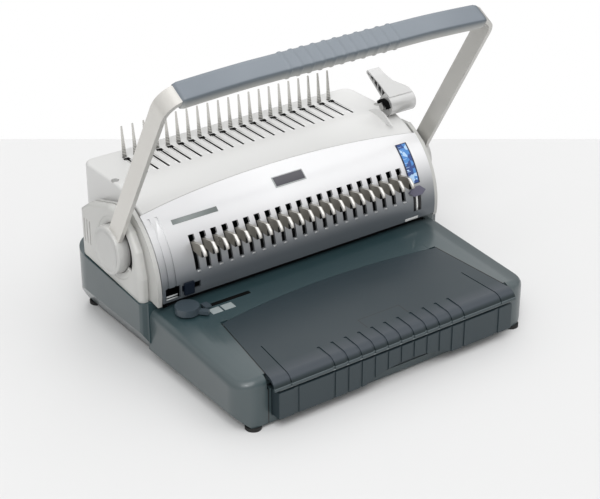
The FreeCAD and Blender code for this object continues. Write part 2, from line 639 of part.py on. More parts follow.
no_size = d.gap * 0
lid_hole = both("LidHole", lid_strip("LidHoleStrip", d.overrun * 3, d.lid_thick + d.slim_gap * 0.5,
    d.slim_gap),
                lid_plan("LidHolePlan", d.slim_gap))
tray_well = box("TrayWell", -d.tray_half, d.tray_half,
                -d.base_front + d.wall, -d.tray_rear, d.tray_floor, d.drum_radius)
nose_room = box("NoseRoom", -d.lid_front_half - d.slim_gap, d.lid_front_half + d.slim_gap,
    -d.base_front - d.overrun,
                -d.lid_nose + d.gap, d.drawer_high + d.gap, d.drum_radius)
pin_z = deck_at(-d.lid_pin_y) - d.lid_thick * 0.5
hinge_room = box("HingeRoom", -d.lid_bow_half - d.slim_gap, d.lid_bow_half + d.slim_gap,
    -d.lid_pin_y - d.wall * 2,
                 -d.lid_pin_y + d.wall * 2, pin_z - d.hinge_drop, d.drum_radius)
pin_hole = rod("PinHole", d.lid_pin_radius, -d.lid_pin_out, d.lid_pin_out, -d.lid_pin_y, pin_z)
knob_deck = deck_at(-d.knob_y)
channel_low = d.drawer_high + d.wall
channel_high = knob_deck - d.wall * 1.6
knob_hole = post("KnobHole", d.knob_stem + d.run_gap, -d.knob_x, -d.knob_y, channel_low, d.drum_radius)
guide_slot = box("GuideSlot", -d.guide_slot_out, -d.guide_slot_in, -d.guide_slot_y - d.guide_slot_wide * 0.5,
                 -d.guide_slot_y + d.guide_slot_wide * 0.5, channel_low, d.drum_radius)
guide_channel = box("GuideChannel", -d.guide_slot_out - d.gap, -d.guide_slot_in + d.gap,
                    -d.guide_slot_y - d.tab_foot * 0.5 - d.slim_gap,
                    -d.guide_slot_y + d.tab_foot * 0.5 + d.slim_gap,
                    channel_low, channel_high)
base_housing = node("base_housing", cut("BaseHousing", base_block, chamber, cover_seat, drawer_hole,
    lid_hole,
                                        tray_well, nose_room, hinge_room, pin_hole, knob_hole, guide_slot,
                                        guide_channel))
base_plate = box("BasePlate", -d.side_low_half + d.gap, d.side_low_half - d.gap,
    -d.foot_front + d.foot_radius + d.gap,
                 d.foot_rear - d.foot_radius - d.gap, d.base_low - d.plate_thick, d.base_low)
node("base_plate", base_plate)
feet = []
for number, place in enumerate((-d.foot_front, d.foot_rear)):
    foot = post("Foot%d" % number, d.foot_radius, d.foot_x, place, 0, d.base_low)
    feet += [foot, mirrored("FootTwin%d" % number, foot)]
feet_group = doc.addObject("Part::Compound", "Feet")
feet_group.Links = feet
node("rubber_feet", feet_group)
pin_bar = rod("PinBar", d.lid_pin_radius, d.lid_pin_in, d.lid_pin_out, -d.lid_pin_y, pin_z)
node("lid_hinge_pins", pair("LidHingePins", pin_bar))

# Storage lid with its grip grooves

lid_blank = both("LidBlank", lid_strip("LidStrip", no_size, d.lid_thick, no_size),
    lid_plan("LidPlan", no_size))
groove_face = lid_strip("GrooveFace", -d.grip_groove_deep, d.lid_thick, -d.grip_groove_deep)
groove_bar = box("GrooveBar", d.grip_groove_wide * -0.5, d.grip_groove_wide * 0.5,
    -d.lid_front_y - d.overrun,
                 -d.grip_groove_back, d.lid_lip_z - d.gap, d.drum_radius)
first_groove = (d.grip_groove_count - 1) * d.grip_groove_pitch * -0.5
doc.recompute()
groove_bars = row("GripGroove", groove_bar, d.grip_groove_pitch, d.grip_groove_count, first_groove)
step_bar = prism("StepBar", "XY_Plane", [
    (d.step_in_x, -d.step_in_y), (d.step_in_x + d.step_wide, -d.step_in_y),
    (d.step_out_x + d.step_wide, -d.lid_front_y - d.overrun), (d.step_out_x, -d.lid_front_y - d.overrun)],
    d.lid_lip_z - d.gap, d.drum_radius)
groove_tool = cut("GrooveTool", join("GrooveBars", step_bar, mirrored("StepTwin", step_bar),
    *groove_bars), groove_face)
lid_bore = rod("LidBore", d.lid_pin_radius + d.run_gap, -d.lid_pin_out, d.lid_pin_out, -d.lid_pin_y, pin_z)
bore_core = box("BoreCore", -d.lid_pin_in + d.gap, d.lid_pin_in - d.gap, -d.lid_pin_y - d.wall,
    -d.lid_pin_y + d.wall,
                pin_z - d.wall, pin_z + d.wall)
storage_lid = node("storage_lid", cut("StorageLid", lid_blank, groove_tool,
    cut("LidBores", lid_bore, bore_core)))

# Waste drawer with a finger arch under its grooved front

drawer_body = box("DrawerBody", -d.drawer_half, d.drawer_half, -d.drawer_front, d.drawer_rear,
                  d.drawer_low, d.drawer_high)
drawer_well = box("DrawerWell", -d.drawer_half + d.drawer_wall, d.drawer_half - d.drawer_wall,
                  -d.base_front + d.drawer_wall, d.drawer_rear - d.drawer_wall, d.drawer_low + d.drawer_wall,
                  d.drawer_high + d.gap)
arch_radius = (d.drawer_arch_wide * d.drawer_arch_wide * 0.25 + d.drawer_arch_high * d.drawer_arch_high) \
    / d.drawer_arch_high * 0.5
arch = doc.addObject("Part::Cylinder", "DrawerArch")
bind(arch, "Radius", arch_radius)
bind(arch, "Height", d.drawer_front - d.base_front + d.overrun)
move_to(arch, d.drawer_arch_x, -d.base_front, d.drawer_low + d.drawer_arch_high - arch_radius,
    Vector(1, 0, 0), 90)
finger_room = box("FingerRoom", d.drawer_arch_x - d.drawer_arch_wide * 0.5,
    d.drawer_arch_x + d.drawer_arch_wide * 0.5,
                  -d.drawer_front + d.drawer_face, -d.base_front, d.drawer_low - d.gap,
                  d.drawer_high - d.drawer_face)
drawer_groove = box("DrawerGroove", d.grip_groove_wide * -0.5, d.grip_groove_wide * 0.5,
    -d.drawer_front - d.gap,
                    -d.drawer_front + d.grip_groove_deep, d.drawer_low - d.gap, d.drawer_high + d.gap)
side_groove = box("SideGroove", d.step_in_x - d.grip_groove_wide, d.step_in_x + d.grip_groove_wide,
                  -d.drawer_front - d.gap, -d.drawer_front + d.grip_groove_deep, d.drawer_low - d.gap,
                  d.drawer_high + d.gap)
doc.recompute()
drawer_grooves = row("DrawerRib", drawer_groove, d.grip_groove_pitch, d.grip_groove_count, first_groove)
chip_drawer = node("chip_drawer", cut("ChipDrawer", drawer_body, drawer_well, arch, finger_room, side_groove,
                                      mirrored("SideGrooveTwin", side_groove), *drawer_grooves))
rail = box("Rail", d.drawer_half - d.lid_front_half * 0.15, d.drawer_half, d.gap * 3,
    d.drawer_rear + d.wall * 3,
           d.base_low, d.drawer_low - d.slim_gap * 0.5)
node("drawer_rails", pair("DrawerRails", rail))

# Deck fittings: margin knob and the edge guide it moves

knob_floor = deck_at(-d.knob_y + d.knob_radius) + d.slim_gap * 0.6
knob_disc = post("KnobDisc", d.knob_radius, -d.knob_x, -d.knob_y, knob_floor, knob_floor + d.knob_high)
knob_shaft = post("KnobShaft", d.knob_stem, -d.knob_x, -d.knob_y, channel_low + d.slim_gap, knob_floor)
knob_tail = box("KnobTail", d.knob_tail_wide * -0.5, d.knob_tail_wide * 0.5, -d.knob_tail, d.gap * 0,
                knob_floor, knob_floor + d.knob_high * 0.5)
tail_shift = d.knob_tail_wide * cosine(45) * 0.5
move_to(knob_tail, tail_shift - d.knob_x, tail_shift - d.knob_y, knob_floor, Vector(0, 0, 1), 225)
margin_knob = node("margin_knob", join("MarginKnob", knob_disc, knob_shaft, knob_tail))
tab_left = -d.guide_slot_out + d.gap
tab_top = box("TabTop", tab_left, tab_left + d.tab_long, -d.guide_slot_y - d.tab_foot * 0.5,
              -d.guide_slot_y + d.tab_foot * 0.5, knob_floor, knob_floor + d.tab_high)
tab_web = box("TabWeb", tab_left, tab_left + d.tab_long,
    -d.guide_slot_y - d.guide_slot_wide * 0.5 + d.slide_gap,
              -d.guide_slot_y + d.guide_slot_wide * 0.5 - d.slide_gap, channel_low + d.gap * 2, knob_floor)
tab_foot = box("TabFoot", tab_left, tab_left + d.tab_long, -d.guide_slot_y - d.tab_foot * 0.5,
               -d.guide_slot_y + d.tab_foot * 0.5, channel_low + d.slide_gap, channel_high - d.wall)
edge_guide = node("edge_guide", join("EdgeGuide", tab_top, tab_web, tab_foot))

# Steel side frames, bearings and tie rods

frame_blank = prism("FrameBlank", "YZ_Plane", [
    (d.frame_front, d.base_low), (d.frame_rear, d.base_low), (d.frame_rear, d.frame_top),
    (d.frame_brow_y, d.frame_top), (d.frame_knee_y, d.frame_knee_z), (d.frame_front, d.frame_low_cut)],
    d.frame_in_x, d.frame_in_x + d.sheet_steel)
frame_right = cut("FrameRight", frame_blank, rod("FrameBore", d.bearing_radius, d.frame_in_x - d.gap,
                                                 d.frame_in_x + d.sheet_steel + d.gap, d.pivot_y, d.pivot_z))
node("right_side_frame", frame_right)
node("left_side_frame", mirrored("FrameLeft", frame_right))
bearing_x = d.frame_in_x + d.sheet_steel * 0.5
bearing = cut("Bearing", rod("BearingRing", d.bearing_radius, bearing_x - d.bearing_long * 0.5,
                             bearing_x + d.bearing_long * 0.5, d.pivot_y, d.pivot_z),
              rod("BearingBore", d.shaft_radius + d.run_gap, d.hook_arm_x, d.ear_in_x, d.pivot_y, d.pivot_z))
node("right_bearing", bearing)
node("left_bearing", mirrored("BearingLeft", bearing))
tie_y = d.frame_rear - d.tie_radius * 2.5
low_tie = rod("LowTie", d.tie_radius, -d.frame_in_x, d.frame_in_x, tie_y, d.die_low)
high_tie = rod("HighTie", d.tie_radius, -d.frame_in_x, d.frame_in_x, tie_y, d.frame_top - d.tie_radius * 4)
tie_rods = doc.addObject("Part::Compound", "TieRods")
tie_rods.Links = [low_tie, high_tie]
node("tie_rods", tie_rods)

# Punching dies with their row of oblong holes

die_top = deck_at(0) - d.gap * 0.5
guide_low = die_top + d.throat
die_hole = box("DieHole", d.die_hole_wide * -0.5, d.die_hole_wide * 0.5, d.pin_y - d.die_hole_deep * 0.5,
               d.pin_y + d.die_hole_deep * 0.5, d.die_low - d.gap, guide_low + d.guide_thick + d.gap)
doc.recompute()
die_holes = row("DieHole", die_hole, d.ring_pitch, d.ring_count, first_ring)
holes = doc.addObject("Part::Compound", "DieHoles")
holes.Links = die_holes
node("lower_die_plate", cut("LowerDie", box("LowerDieBlank", -d.die_half, d.die_half, d.die_front,
    d.die_rear,
                                            d.die_low, die_top), holes))
node("upper_guide_plate", cut("UpperGuide", box("UpperGuideBlank", -d.die_half, d.die_half, d.die_front,
    d.die_rear,
                                                guide_low, guide_low + d.guide_thick), holes))
spacer = box("Spacer", d.die_half - d.spacer_wide, d.die_half, d.spacer_y, d.die_rear, die_top, guide_low)
node("die_spacers", pair("DieSpacers", spacer))

# Punch carriage: pins, pressure bar and the two yokes

bar_front = d.pin_y - d.bar_deep * 0.5
bar_rear = d.pin_y + d.bar_deep * 0.5
pin_body = box("PinBody", d.die_hole_wide * -0.5 + d.pin_gap, d.die_hole_wide * 0.5 - d.pin_gap,
               d.pin_y - d.die_hole_deep * 0.5 + d.pin_gap, d.pin_y + d.die_hole_deep * 0.5 - d.pin_gap,
               d.pin_low, d.bar_low)
doc.recompute()
pins = doc.addObject("Part::Compound", "Pins")
pins.Links = row("Pin", pin_body, d.ring_pitch, d.ring_count, first_ring)
node("punch_pins", pins)
node("pressure_bar", box("PressureBar", -d.bar_half, d.bar_half, bar_front, bar_rear, d.bar_low, d.bar_high))
cam_y = d.pivot_y - d.cam_throw * cosine(d.cam_rest)
cam_z = d.pivot_z + d.cam_throw * sine(d.cam_rest)
slot_y = cam_y - d.yoke_slack * 0.4
yoke_in = d.cam_x - d.yoke_thick * 0.5
yoke_out = d.cam_x + d.yoke_thick * 0.5


def oblong(name, radius, x0, x1):
    """Round-ended slab across the yoke's slack"""
    front = rod(name + "Front", radius, x0, x1, slot_y - d.yoke_slack * 0.5, cam_z)
    rear = rod(name + "Rear", radius, x0, x1, slot_y + d.yoke_slack * 0.5, cam_z)
    slab = box(name + "Slab", x0, x1, slot_y - d.yoke_slack * 0.5, slot_y + d.yoke_slack * 0.5,
               cam_z - radius, cam_z + radius)
    return join(name, front, rear, slab)


window_radius = d.cam_radius + d.yoke_gap
yoke_tongue = box("YokeTongue", yoke_in, yoke_out, bar_rear, slot_y - window_radius * 0.5, d.bar_low,
    d.tongue_top)
yoke = cut("Yoke", join("YokeBlank", oblong("YokeOuter", window_radius + d.yoke_ring, yoke_in, yoke_out),
    yoke_tongue),
           oblong("YokeWindow", window_radius, yoke_in - d.gap, yoke_out + d.gap), NODES["pressure_bar"])
node("right_yoke", yoke)
node("left_yoke", mirrored("YokeLeft", yoke))

# Main shaft with an eccentric inside each yoke

main_shaft = node("main_shaft", rod("MainShaft", d.shaft_radius, -d.arm_in_x, d.arm_in_x, d.pivot_y,
    d.pivot_z))
cam = cut("Cam", rod("CamDisc", d.cam_radius, d.cam_x - d.cam_thick * 0.5, d.cam_x + d.cam_thick * 0.5,
    cam_y, cam_z),
          rod("CamBore", d.shaft_radius, d.cam_x - d.cam_thick, d.cam_x + d.cam_thick, d.pivot_y, d.pivot_z))
node("right_eccentric", cam)
node("left_eccentric", mirrored("CamLeft", cam))

# Hook comb swinging on stub pins at the drum's axis

hook_points = [on_drum(d.hook_in, d.hook_high), on_drum(d.hook_root, d.hook_high),
    on_drum(d.hook_mid, d.hook_brow),
               on_drum(d.hook_far, d.hook_fall), on_drum(d.hook_tip, d.hook_tip_high),
               on_drum(d.hook_tip, d.hook_tip_low), on_drum(d.hook_jaw, d.hook_chin),
               on_drum(d.hook_mid - d.wall, d.hook_tip_low), on_drum(d.hook_root, d.hook_low),
               on_drum(d.hook_in, d.hook_low)]
hook_plate = prism("HookPlate", "YZ_Plane", hook_points, d.hook_thick * -0.5, d.hook_thick * 0.5)
hook_bar = wedge("HookBar", d.hook_bar_in, d.hook_bar_out, d.hook_bar_low, d.hook_bar_high,
                 -d.hook_arm_x - d.hook_arm_thick, d.hook_arm_x + d.hook_arm_thick)
hook_link = wedge("HookLink", d.hook_bar_in, d.hook_bar_out, d.pointer_low + d.slide_gap,
    d.hook_bar_low + d.gap,
                  d.pointer_x - d.pointer_stem_apart, d.pointer_x + d.pointer_stem_apart)
arm_root = d.hook_bar_in + d.gap * 2
arm_plate = prism("HookArm", "YZ_Plane", [
    (d.drum_y, d.drum_z + d.stub_radius * 1.2), on_drum(arm_root, d.hook_bar_high),
    on_drum(arm_root, d.hook_bar_low), (d.drum_y, d.drum_z - d.stub_radius * 1.2)],
    d.hook_arm_x, d.hook_arm_x + d.hook_arm_thick)
arm_hub = rod("HookHub", d.hook_hub, d.hook_arm_x, d.hook_arm_x + d.hook_arm_thick, d.drum_y, d.drum_z)
hook_arm = join("HookArmHub", arm_plate, arm_hub)
stub_hole = rod("StubHole", d.stub_radius + d.run_gap, -d.frame_in_x, d.frame_in_x, d.drum_y, d.drum_z)
doc.recompute()
hook_plates = row("Hook", hook_plate, d.ring_pitch, d.ring_count, first_ring)
hook_comb = cut("HookComb", join("HookCombBlank", hook_bar, hook_link, hook_arm,
    mirrored("HookArmTwin", hook_arm),
                                 *hook_plates), stub_hole)
node("hook_comb", hook_comb)
stub = rod("Stub", d.stub_radius, d.hook_arm_x - d.gap * 0.5, d.frame_in_x, d.drum_y, d.drum_z)
node("hook_pivots", pair("HookPivots", stub))
pointer_ring = wedge("PointerRing", d.drum_radius + d.gap * 0.4,
    d.drum_radius + d.gap * 0.4 + d.pointer_thick,
                     d.pointer_low, d.pointer_high, d.pointer_x - d.pointer_wide * 0.5,
                     d.pointer_x + d.pointer_wide * 0.5)
pointer_z = d.drum_z + d.drum_radius * sine((d.pointer_low + d.pointer_high) * 0.5)
pointer_rise = d.drum_radius * sine((d.pointer_high - d.pointer_low) * 0.5)
diamond = prism("PointerDiamond", "XZ_Plane", [
    (d.pointer_x - d.pointer_wide * 0.5, pointer_z), (d.pointer_x - d.pointer_waist,
    pointer_z - pointer_rise),
    (d.pointer_x + d.pointer_waist, pointer_z - pointer_rise),
    (d.pointer_x + d.pointer_wide * 0.5, pointer_z),
    (d.pointer_x + d.pointer_waist, pointer_z + pointer_rise),
    (d.pointer_x - d.pointer_waist, pointer_z + pointer_rise)], -d.drum_y, d.drum_radius)
pointer_face = both("PointerFace", pointer_ring, diamond)
stems = []
for number in (-1, 1):
    middle = d.pointer_x + d.pointer_stem_apart * 0.5 * number
    stems.append(wedge("PointerStem%d" % (number + 1), d.hook_bar_out, d.drum_radius + d.gap,
        d.pointer_low + d.slide_gap,
                       d.pointer_slot_top - d.gap * 0.5, middle - d.pointer_stem * 0.5,
                       middle + d.pointer_stem * 0.5))
node("size_pointer", join("SizePointer", pointer_face, *stems))

# Small sliding hooks that follow the comb lever under the roof

tooth_rear = d.top_slot_rear - d.top_notch_deep + d.gap
tooth = box("TopTooth", d.top_tooth * -0.5, d.top_tooth * 0.5, tooth_rear - d.top_tooth_deep, tooth_rear,
            d.top_bar_low, roof_z - d.gap)
tooth_bar = box("ToothBar", -d.top_bar_half, d.top_bar_half, tooth_rear - d.top_bar_deep * 0.7,
                tooth_rear + d.top_bar_deep * 0.3, d.top_bar_low, d.top_bar_low + d.top_bar_thick)
doc.recompute()
teeth = row("Tooth", tooth, d.ring_pitch, d.ring_count, first_ring)
node("top_hook_bar", join("TopHookBar", tooth_bar, *teeth))

# Handle: flat steel strap bent to a U, with its grip and pivot caps


def on_handle(body, depth):
    """Stand a handle piece on the pivot, leaning forward, from a depth along its own Y"""
    return move_to(body, 0, d.pivot_y - depth * cosine(d.handle_lean),
        d.pivot_z - depth * sine(d.handle_lean),
                   Vector(1, 0, 0), d.handle_lean)


arm_out_x = d.arm_in_x + d.arm_thick
strap_top = d.arm_long + d.arm_thick * 0.5
strap_half = d.arm_wide * 0.5
handle_bar = prism("HandleBar", "XZ_Plane", [
    (-arm_out_x, -d.arm_foot), (-arm_out_x, strap_top), (arm_out_x, strap_top), (arm_out_x, -d.arm_foot),
    (d.arm_in_x, -d.arm_foot), (d.arm_in_x, strap_top - d.arm_thick), (-d.arm_in_x, strap_top - d.arm_thick),
    (-d.arm_in_x, -d.arm_foot)], -strap_half, strap_half)
rounded("StrapOuterBend", handle_bar, d.arm_bend, lambda edge:
        edge.BoundBox.YLength > d.arm_thick.value * 2 and
        edge.BoundBox.ZMin > strap_top.value - 0.1)
rounded("StrapInnerBend", handle_bar, d.arm_bend - d.arm_thick,
    lambda edge: edge.BoundBox.YLength > d.arm_thick.value * 2 and
        abs(edge.BoundBox.ZMin - strap_top.value + d.arm_thick.value) < 0.1 and edge.BoundBox.XLength < 1
        and abs(edge.BoundBox.XMax) > d.arm_in_x.value - 1)
rounded("StrapFeet", handle_bar, d.arm_wide * 0.47,
    lambda edge: edge.BoundBox.ZMax < -d.arm_foot.value + 0.1 and
        edge.BoundBox.YLength < 1)
on_handle(handle_bar, -strap_half)
node("handle_bar", handle_bar)

grip_high = d.arm_long + d.grip_rise
grip_low = grip_high - d.grip_thick
grip_blank = prism("GripBlank", "XZ_Plane", [
    (-d.grip_half, grip_low - d.grip_arch), (-(d.grip_half + d.grip_flat) * 0.5,
    grip_low - d.grip_arch * 0.3),
    (-d.grip_flat, grip_low), (d.grip_flat, grip_low), ((d.grip_half + d.grip_flat) * 0.5,
    grip_low - d.grip_arch * 0.3),
    (d.grip_half, grip_low - d.grip_arch), (d.grip_half, grip_high - d.grip_arch),
    ((d.grip_half + d.grip_flat) * 0.5, grip_high - d.grip_arch * 0.3), (d.grip_flat, grip_high),
    (-d.grip_flat, grip_high), (-(d.grip_half + d.grip_flat) * 0.5, grip_high - d.grip_arch * 0.3),
    (-d.grip_half, grip_high - d.grip_arch)], d.grip_deep * -0.5, d.grip_deep * 0.5)
rounded("GripRound", grip_blank, d.grip_thick * 0.3, lambda edge: edge.BoundBox.XLength > d.grip_deep.value)
on_handle(grip_blank, d.grip_deep * -0.5)
rib_y = d.grip_deep * 0.5 + d.rib_high
rib_low = grip_low - d.rib_high
rib_top = grip_high + d.rib_high
rib_cut = d.grip_thick * 0.25
ribs = []
for number in range(int(d.rib_count.value)):
    middle = d.rib_pitch * (number - (d.rib_count.value - 1) / 2)
    rib = prism("Rib%d" % number, "YZ_Plane", [
        (rib_cut - rib_y, rib_low), (rib_y - rib_cut, rib_low), (rib_y, rib_low + rib_cut),
        (rib_y, rib_top - rib_cut), (rib_y - rib_cut, rib_top), (rib_cut - rib_y, rib_top),
        (-rib_y, rib_top - rib_cut), (-rib_y, rib_low + rib_cut)],
        middle - d.rib_wide * 0.5, middle + d.rib_wide * 0.5)
    move_to(rib, middle - d.rib_wide * 0.5, d.pivot_y, d.pivot_z, Vector(1, 0, 0), d.handle_lean)
    ribs.append(rib)
handle_grip = node("handle_grip", cut("HandleGrip", join("GripJoin", grip_blank, *ribs), handle_bar))

cap = turned("PivotCap", [
    (arm_out_x, term(0)), (arm_out_x, d.cap_radius), (arm_out_x + d.cap_thick * 0.4, d.cap_radius),
    (arm_out_x + d.cap_thick, d.cap_radius - d.cap_rim), (arm_out_x + d.cap_thick,
    d.cap_radius - d.cap_rim * 2),
    (arm_out_x + d.cap_thick * 0.7, d.cap_radius - d.cap_rim * 2.4),
    (arm_out_x + d.cap_thick * 0.7, term(0))])
move_to(cap, 0, d.pivot_y, d.pivot_z)
node("right_pivot_cap", cap)
node("left_pivot_cap", mirrored("PivotCapLeft", cap))

# End caps with a shadow groove, a round recess for the arm and vents


def ear_slab(name, inset, x0, x1):
    """Slab with the end cap's side outline, drawn in by an inset"""
    rise = (d.ear_base_top - d.ear_base_front_top) / (d.ear_split_y - d.ear_step_y)
    slab = prism(name, "YZ_Plane", [
        (d.ear_split_y, d.ear_base_top), (d.ear_rear_y - inset, d.ear_base_top),
        (d.ear_rear_y - inset, d.ear_shoulder_z - inset),
        (d.ear_back_y, d.ear_back_z - inset), (d.ear_crown_y, d.ear_crown_z - inset),
        (d.ear_peak_y, d.ear_peak_z - inset), (d.ear_brow_y + inset, d.ear_brow_z - inset),
        (d.ear_temple_y + inset, d.ear_temple_z - inset), (d.ear_front_y + inset, d.ear_cheek_z),
        (d.ear_front_y + inset, d.ear_base_front_top + rise * (d.ear_front_y + inset - d.ear_step_y))],
        x0, x1)
    rounded(name + "Corners", slab, d.ear_round * 1.5, lambda edge: edge.BoundBox.XLength > 0.5 and
            edge.BoundBox.YLength < 0.1 and edge.BoundBox.ZMin > d.drum_z.value * 1.2)
    return slab


band_x = d.ear_in_x + d.band_wide
outer_x = band_x + d.band_gap
ear_outer = ear_slab("EarOuter", no_size, outer_x, d.ear_out_x)
rounded("EarEdge", ear_outer, d.ear_round, lambda edge:
        edge.BoundBox.XMin > (d.ear_out_x - outer_x).value - 0.1 and
        edge.BoundBox.ZMax > d.ear_base_top.value + 1 and edge.BoundBox.ZLength + edge.BoundBox.YLength > 5)
ear_join = join("EarJoin", ear_slab("EarBand", no_size, d.ear_in_x, band_x),
                ear_slab("EarNeck", d.band_deep, band_x, outer_x), ear_outer)
trim = wedge("EarTrim", d.trim_in, d.trim_radius, -d.trim_low, d.trim_high, d.ear_in_x - d.gap * 0.6, band_x)
ear_plan = prism("EarPlan", "XY_Plane", [
    (d.cover_half, -d.drum_radius), (d.ear_out_x, -d.drum_radius), (d.ear_out_x, d.ear_rear_y),
    (d.cover_half, d.ear_rear_y)], 0, roof_z)
rounded("EarRearRound", ear_plan, d.ear_rear_round,
    lambda edge: edge.BoundBox.ZLength > d.cover_corner.value and
        edge.BoundBox.YMin > d.drum_y.value and edge.BoundBox.XMin > d.ear_in_x.value)
ear_mass = both("EarMass", join("EarTrimmed", ear_join, trim), ear_plan)
ear_cuts = [rod("EarRecess", d.recess_radius, d.ear_out_x - d.recess_deep, d.arm_in_x, d.pivot_y, d.pivot_z),
            rod("EarBore", d.shaft_radius + d.slim_gap, d.cover_half, d.ear_out_x, d.pivot_y, d.pivot_z)]
for number in range(int(d.vent_count.value)):
    vent_y = d.ear_rear_y - d.ear_rear_round - d.vent_pitch * number
    ear_cuts.append(box("Vent%d" % number, d.ear_out_x - d.gap * 1.6, d.arm_in_x, vent_y - d.gap,
        vent_y + d.gap * 0.6,
                        d.ear_cheek_z, d.ear_shoulder_z - d.ear_round * 0.5))
right_cap = node("right_end_cap", cut("RightEndCap", ear_mass, *ear_cuts))
node("left_end_cap", mirrored("LeftEndCap", right_cap))
collar = cut("Collar", rod("CollarRing", d.hub_block + d.wall * 2, d.ear_out_x - d.recess_deep,
    d.arm_in_x - d.slim_gap,
                           d.pivot_y, d.pivot_z),
             rod("CollarBore", d.shaft_radius + d.run_gap, d.ear_in_x, arm_out_x, d.pivot_y, d.pivot_z))
node("hub_collars", pair("HubCollars", collar))

# Comb lever: flat arm with pockets on a round hub, held on a headed axle that stands in a lug

lever_side = prism("LeverSide", "YZ_Plane", [
    (-d.lever_front, d.lever_under), (-d.lever_front, d.lever_radius), (d.lever_crest_y, d.lever_crest_z),
    (d.lever_waist_y, d.lever_waist_z), (d.lever_bend_y, d.lever_bend_z),
    (d.lever_tip_y - d.gap * 2, d.lever_tip_high),
    (d.lever_tip_y, d.lever_tip_high - d.gap * 2), (d.lever_tip_y, d.lever_tip_low),
    (d.lever_under, d.lever_front)],
    d.lever_in_x + d.gap, d.lever_out_x)
move_to(lever_side, d.lever_in_x + d.gap, d.lever_y, d.lever_z)
lever_top = prism("LeverTop", "XY_Plane", [
    (d.lever_in_x + d.gap, d.lever_y - d.lever_radius), (d.lever_flare_out, d.lever_y - d.lever_radius),
    (d.lever_flare_out, d.lever_y), (d.lever_flare_out - d.wall, d.lever_y + d.lever_crest_y * 2),
    (d.lever_arm_out + d.wall, d.lever_y + d.lever_waist_y), (d.lever_arm_out, d.lever_y + d.lever_bend_y),
    (d.lever_arm_out, d.lever_y + d.lever_tip_y), (d.lever_in_x + d.gap, d.lever_y + d.lever_tip_y)],
    roof_z, roof_z + d.lever_tip_y * 2)
pocket_side = prism("PocketSide", "YZ_Plane", [
    (d.lever_under + d.pocket_wall, d.lever_front + d.pocket_wall * 2.4),
    (d.lever_tip_y - d.pocket_wall * 1.4, d.lever_tip_low + d.pocket_wall * 0.7),
    (d.lever_tip_y - d.pocket_wall * 1.4, d.lever_tip_high - d.pocket_wall * 2.2),
    (d.lever_bend_y, d.lever_bend_z - d.pocket_wall * 1.3), (d.lever_waist_y,
    d.lever_waist_z - d.pocket_wall * 1.5),
    (d.lever_crest_y + d.pocket_wall, d.lever_crest_z - d.pocket_wall * 1.5)], no_size, d.pocket_deep)
move_to(pocket_side, d.lever_in_x + d.gap * 0.5, d.lever_y, d.lever_z)
pocket_step = (d.lever_tip_y - d.lever_crest_y) / d.pocket_count
pocket_ribs = []
for number in range(1, int(d.pocket_count.value)):
    rib_at = d.lever_y + d.lever_crest_y + pocket_step * number
    pocket_ribs.append(box("PocketRib%d" % number, d.lever_in_x, d.lever_in_x + d.wall * 2, rib_at,
                           rib_at + d.pocket_rib, d.lever_z, d.lever_z + d.lever_tip_y))
pockets = cut("Pockets", pocket_side, *pocket_ribs)
lever_hub = rod("LeverHub", d.lever_radius, d.lever_in_x, d.lever_out_x, d.lever_y, d.lever_z)
lever_bore = rod("LeverBore", d.axle_radius + d.run_gap, d.lever_in_x - d.gap, d.arm_in_x, d.lever_y,
    d.lever_z)
lever_mass = join("LeverMass", both("LeverArm", lever_side, lever_top), lever_hub)
node("comb_lever", cut("CombLever", lever_mass, lever_bore, pockets))
lug_x = d.lever_in_x - d.gap * 0.5
head_x = d.lever_out_x + d.gap * 0.5
axle = rod("Axle", d.axle_radius, lug_x - d.lug_thick, head_x, d.lever_y, d.lever_z)
axle_head = rod("AxleHead", d.axle_head, head_x, head_x + d.axle_head_thick, d.lever_y, d.lever_z)
node("lever_axle", join("LeverAxle", axle, axle_head))
lug = join("Lug", rod("LugRound", d.lug_radius, lug_x - d.lug_thick, lug_x, d.lever_y, d.lever_z),
           box("LugFoot", lug_x - d.lug_thick, lug_x, d.lever_y - d.lug_radius, d.lever_y + d.lug_radius,
               roof_z - d.wall * 2, d.lever_z))
node("lever_bracket", cut("Bracket", lug, axle, cover_block))

# Navy depth slider in its window on the panel

slider_face_y = d.drum_y - d.drum_radius - d.slide_gap
inner_face_y = d.drum_y - d.drum_radius + d.wall + d.gap * 0.8
slider_face = box("SliderFace", -d.slider_out, -d.slider_in, slider_face_y - d.slider_rise, slider_face_y,
                  d.slider_low, d.slider_high)
slider_web = box("SliderWeb", -d.slider_out + d.slide_gap, -d.slider_in - d.slide_gap, slider_face_y,
    inner_face_y,
                 d.slider_low + d.wall + d.slide_gap, d.slider_high - d.wall - d.slide_gap)
slider_back = box("SliderBack", -d.slider_out, -d.slider_in, inner_face_y, inner_face_y + d.gap * 1.4,
                  d.slider_low, d.slider_high)
node("depth_slider", join("DepthSlider", slider_face, slider_web, slider_back))

# Check and export

doc.recompute()
os.makedirs("parts", exist_ok=True)
for item in doc.Objects:
    if "Invalid" in item.State or "Error" in item.State:
        raise RuntimeError("%s did not build: %s" % (item.Label, item.State))
for label, piece in NODES.items():
    shape = piece.Shape
    if shape.isNull() or not shape.isValid() or not shape.Solids:
        raise RuntimeError(label + " is not a valid solid")
    shape.exportStep("parts/%s.step" % label)
    print(label, len(shape.Solids), round(shape.Volume), [round(v, 1) for v in (
        shape.BoundBox.XMin, shape.BoundBox.XMax, shape.BoundBox.YMin, shape.BoundBox.YMax,
        shape.BoundBox.ZMin, shape.BoundBox.ZMax)])
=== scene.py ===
import math

import bmesh
import bpy
import numpy as np
from bpy.props import BoolProperty, FloatProperty, IntProperty, PointerProperty
from mathutils import Matrix, Vector


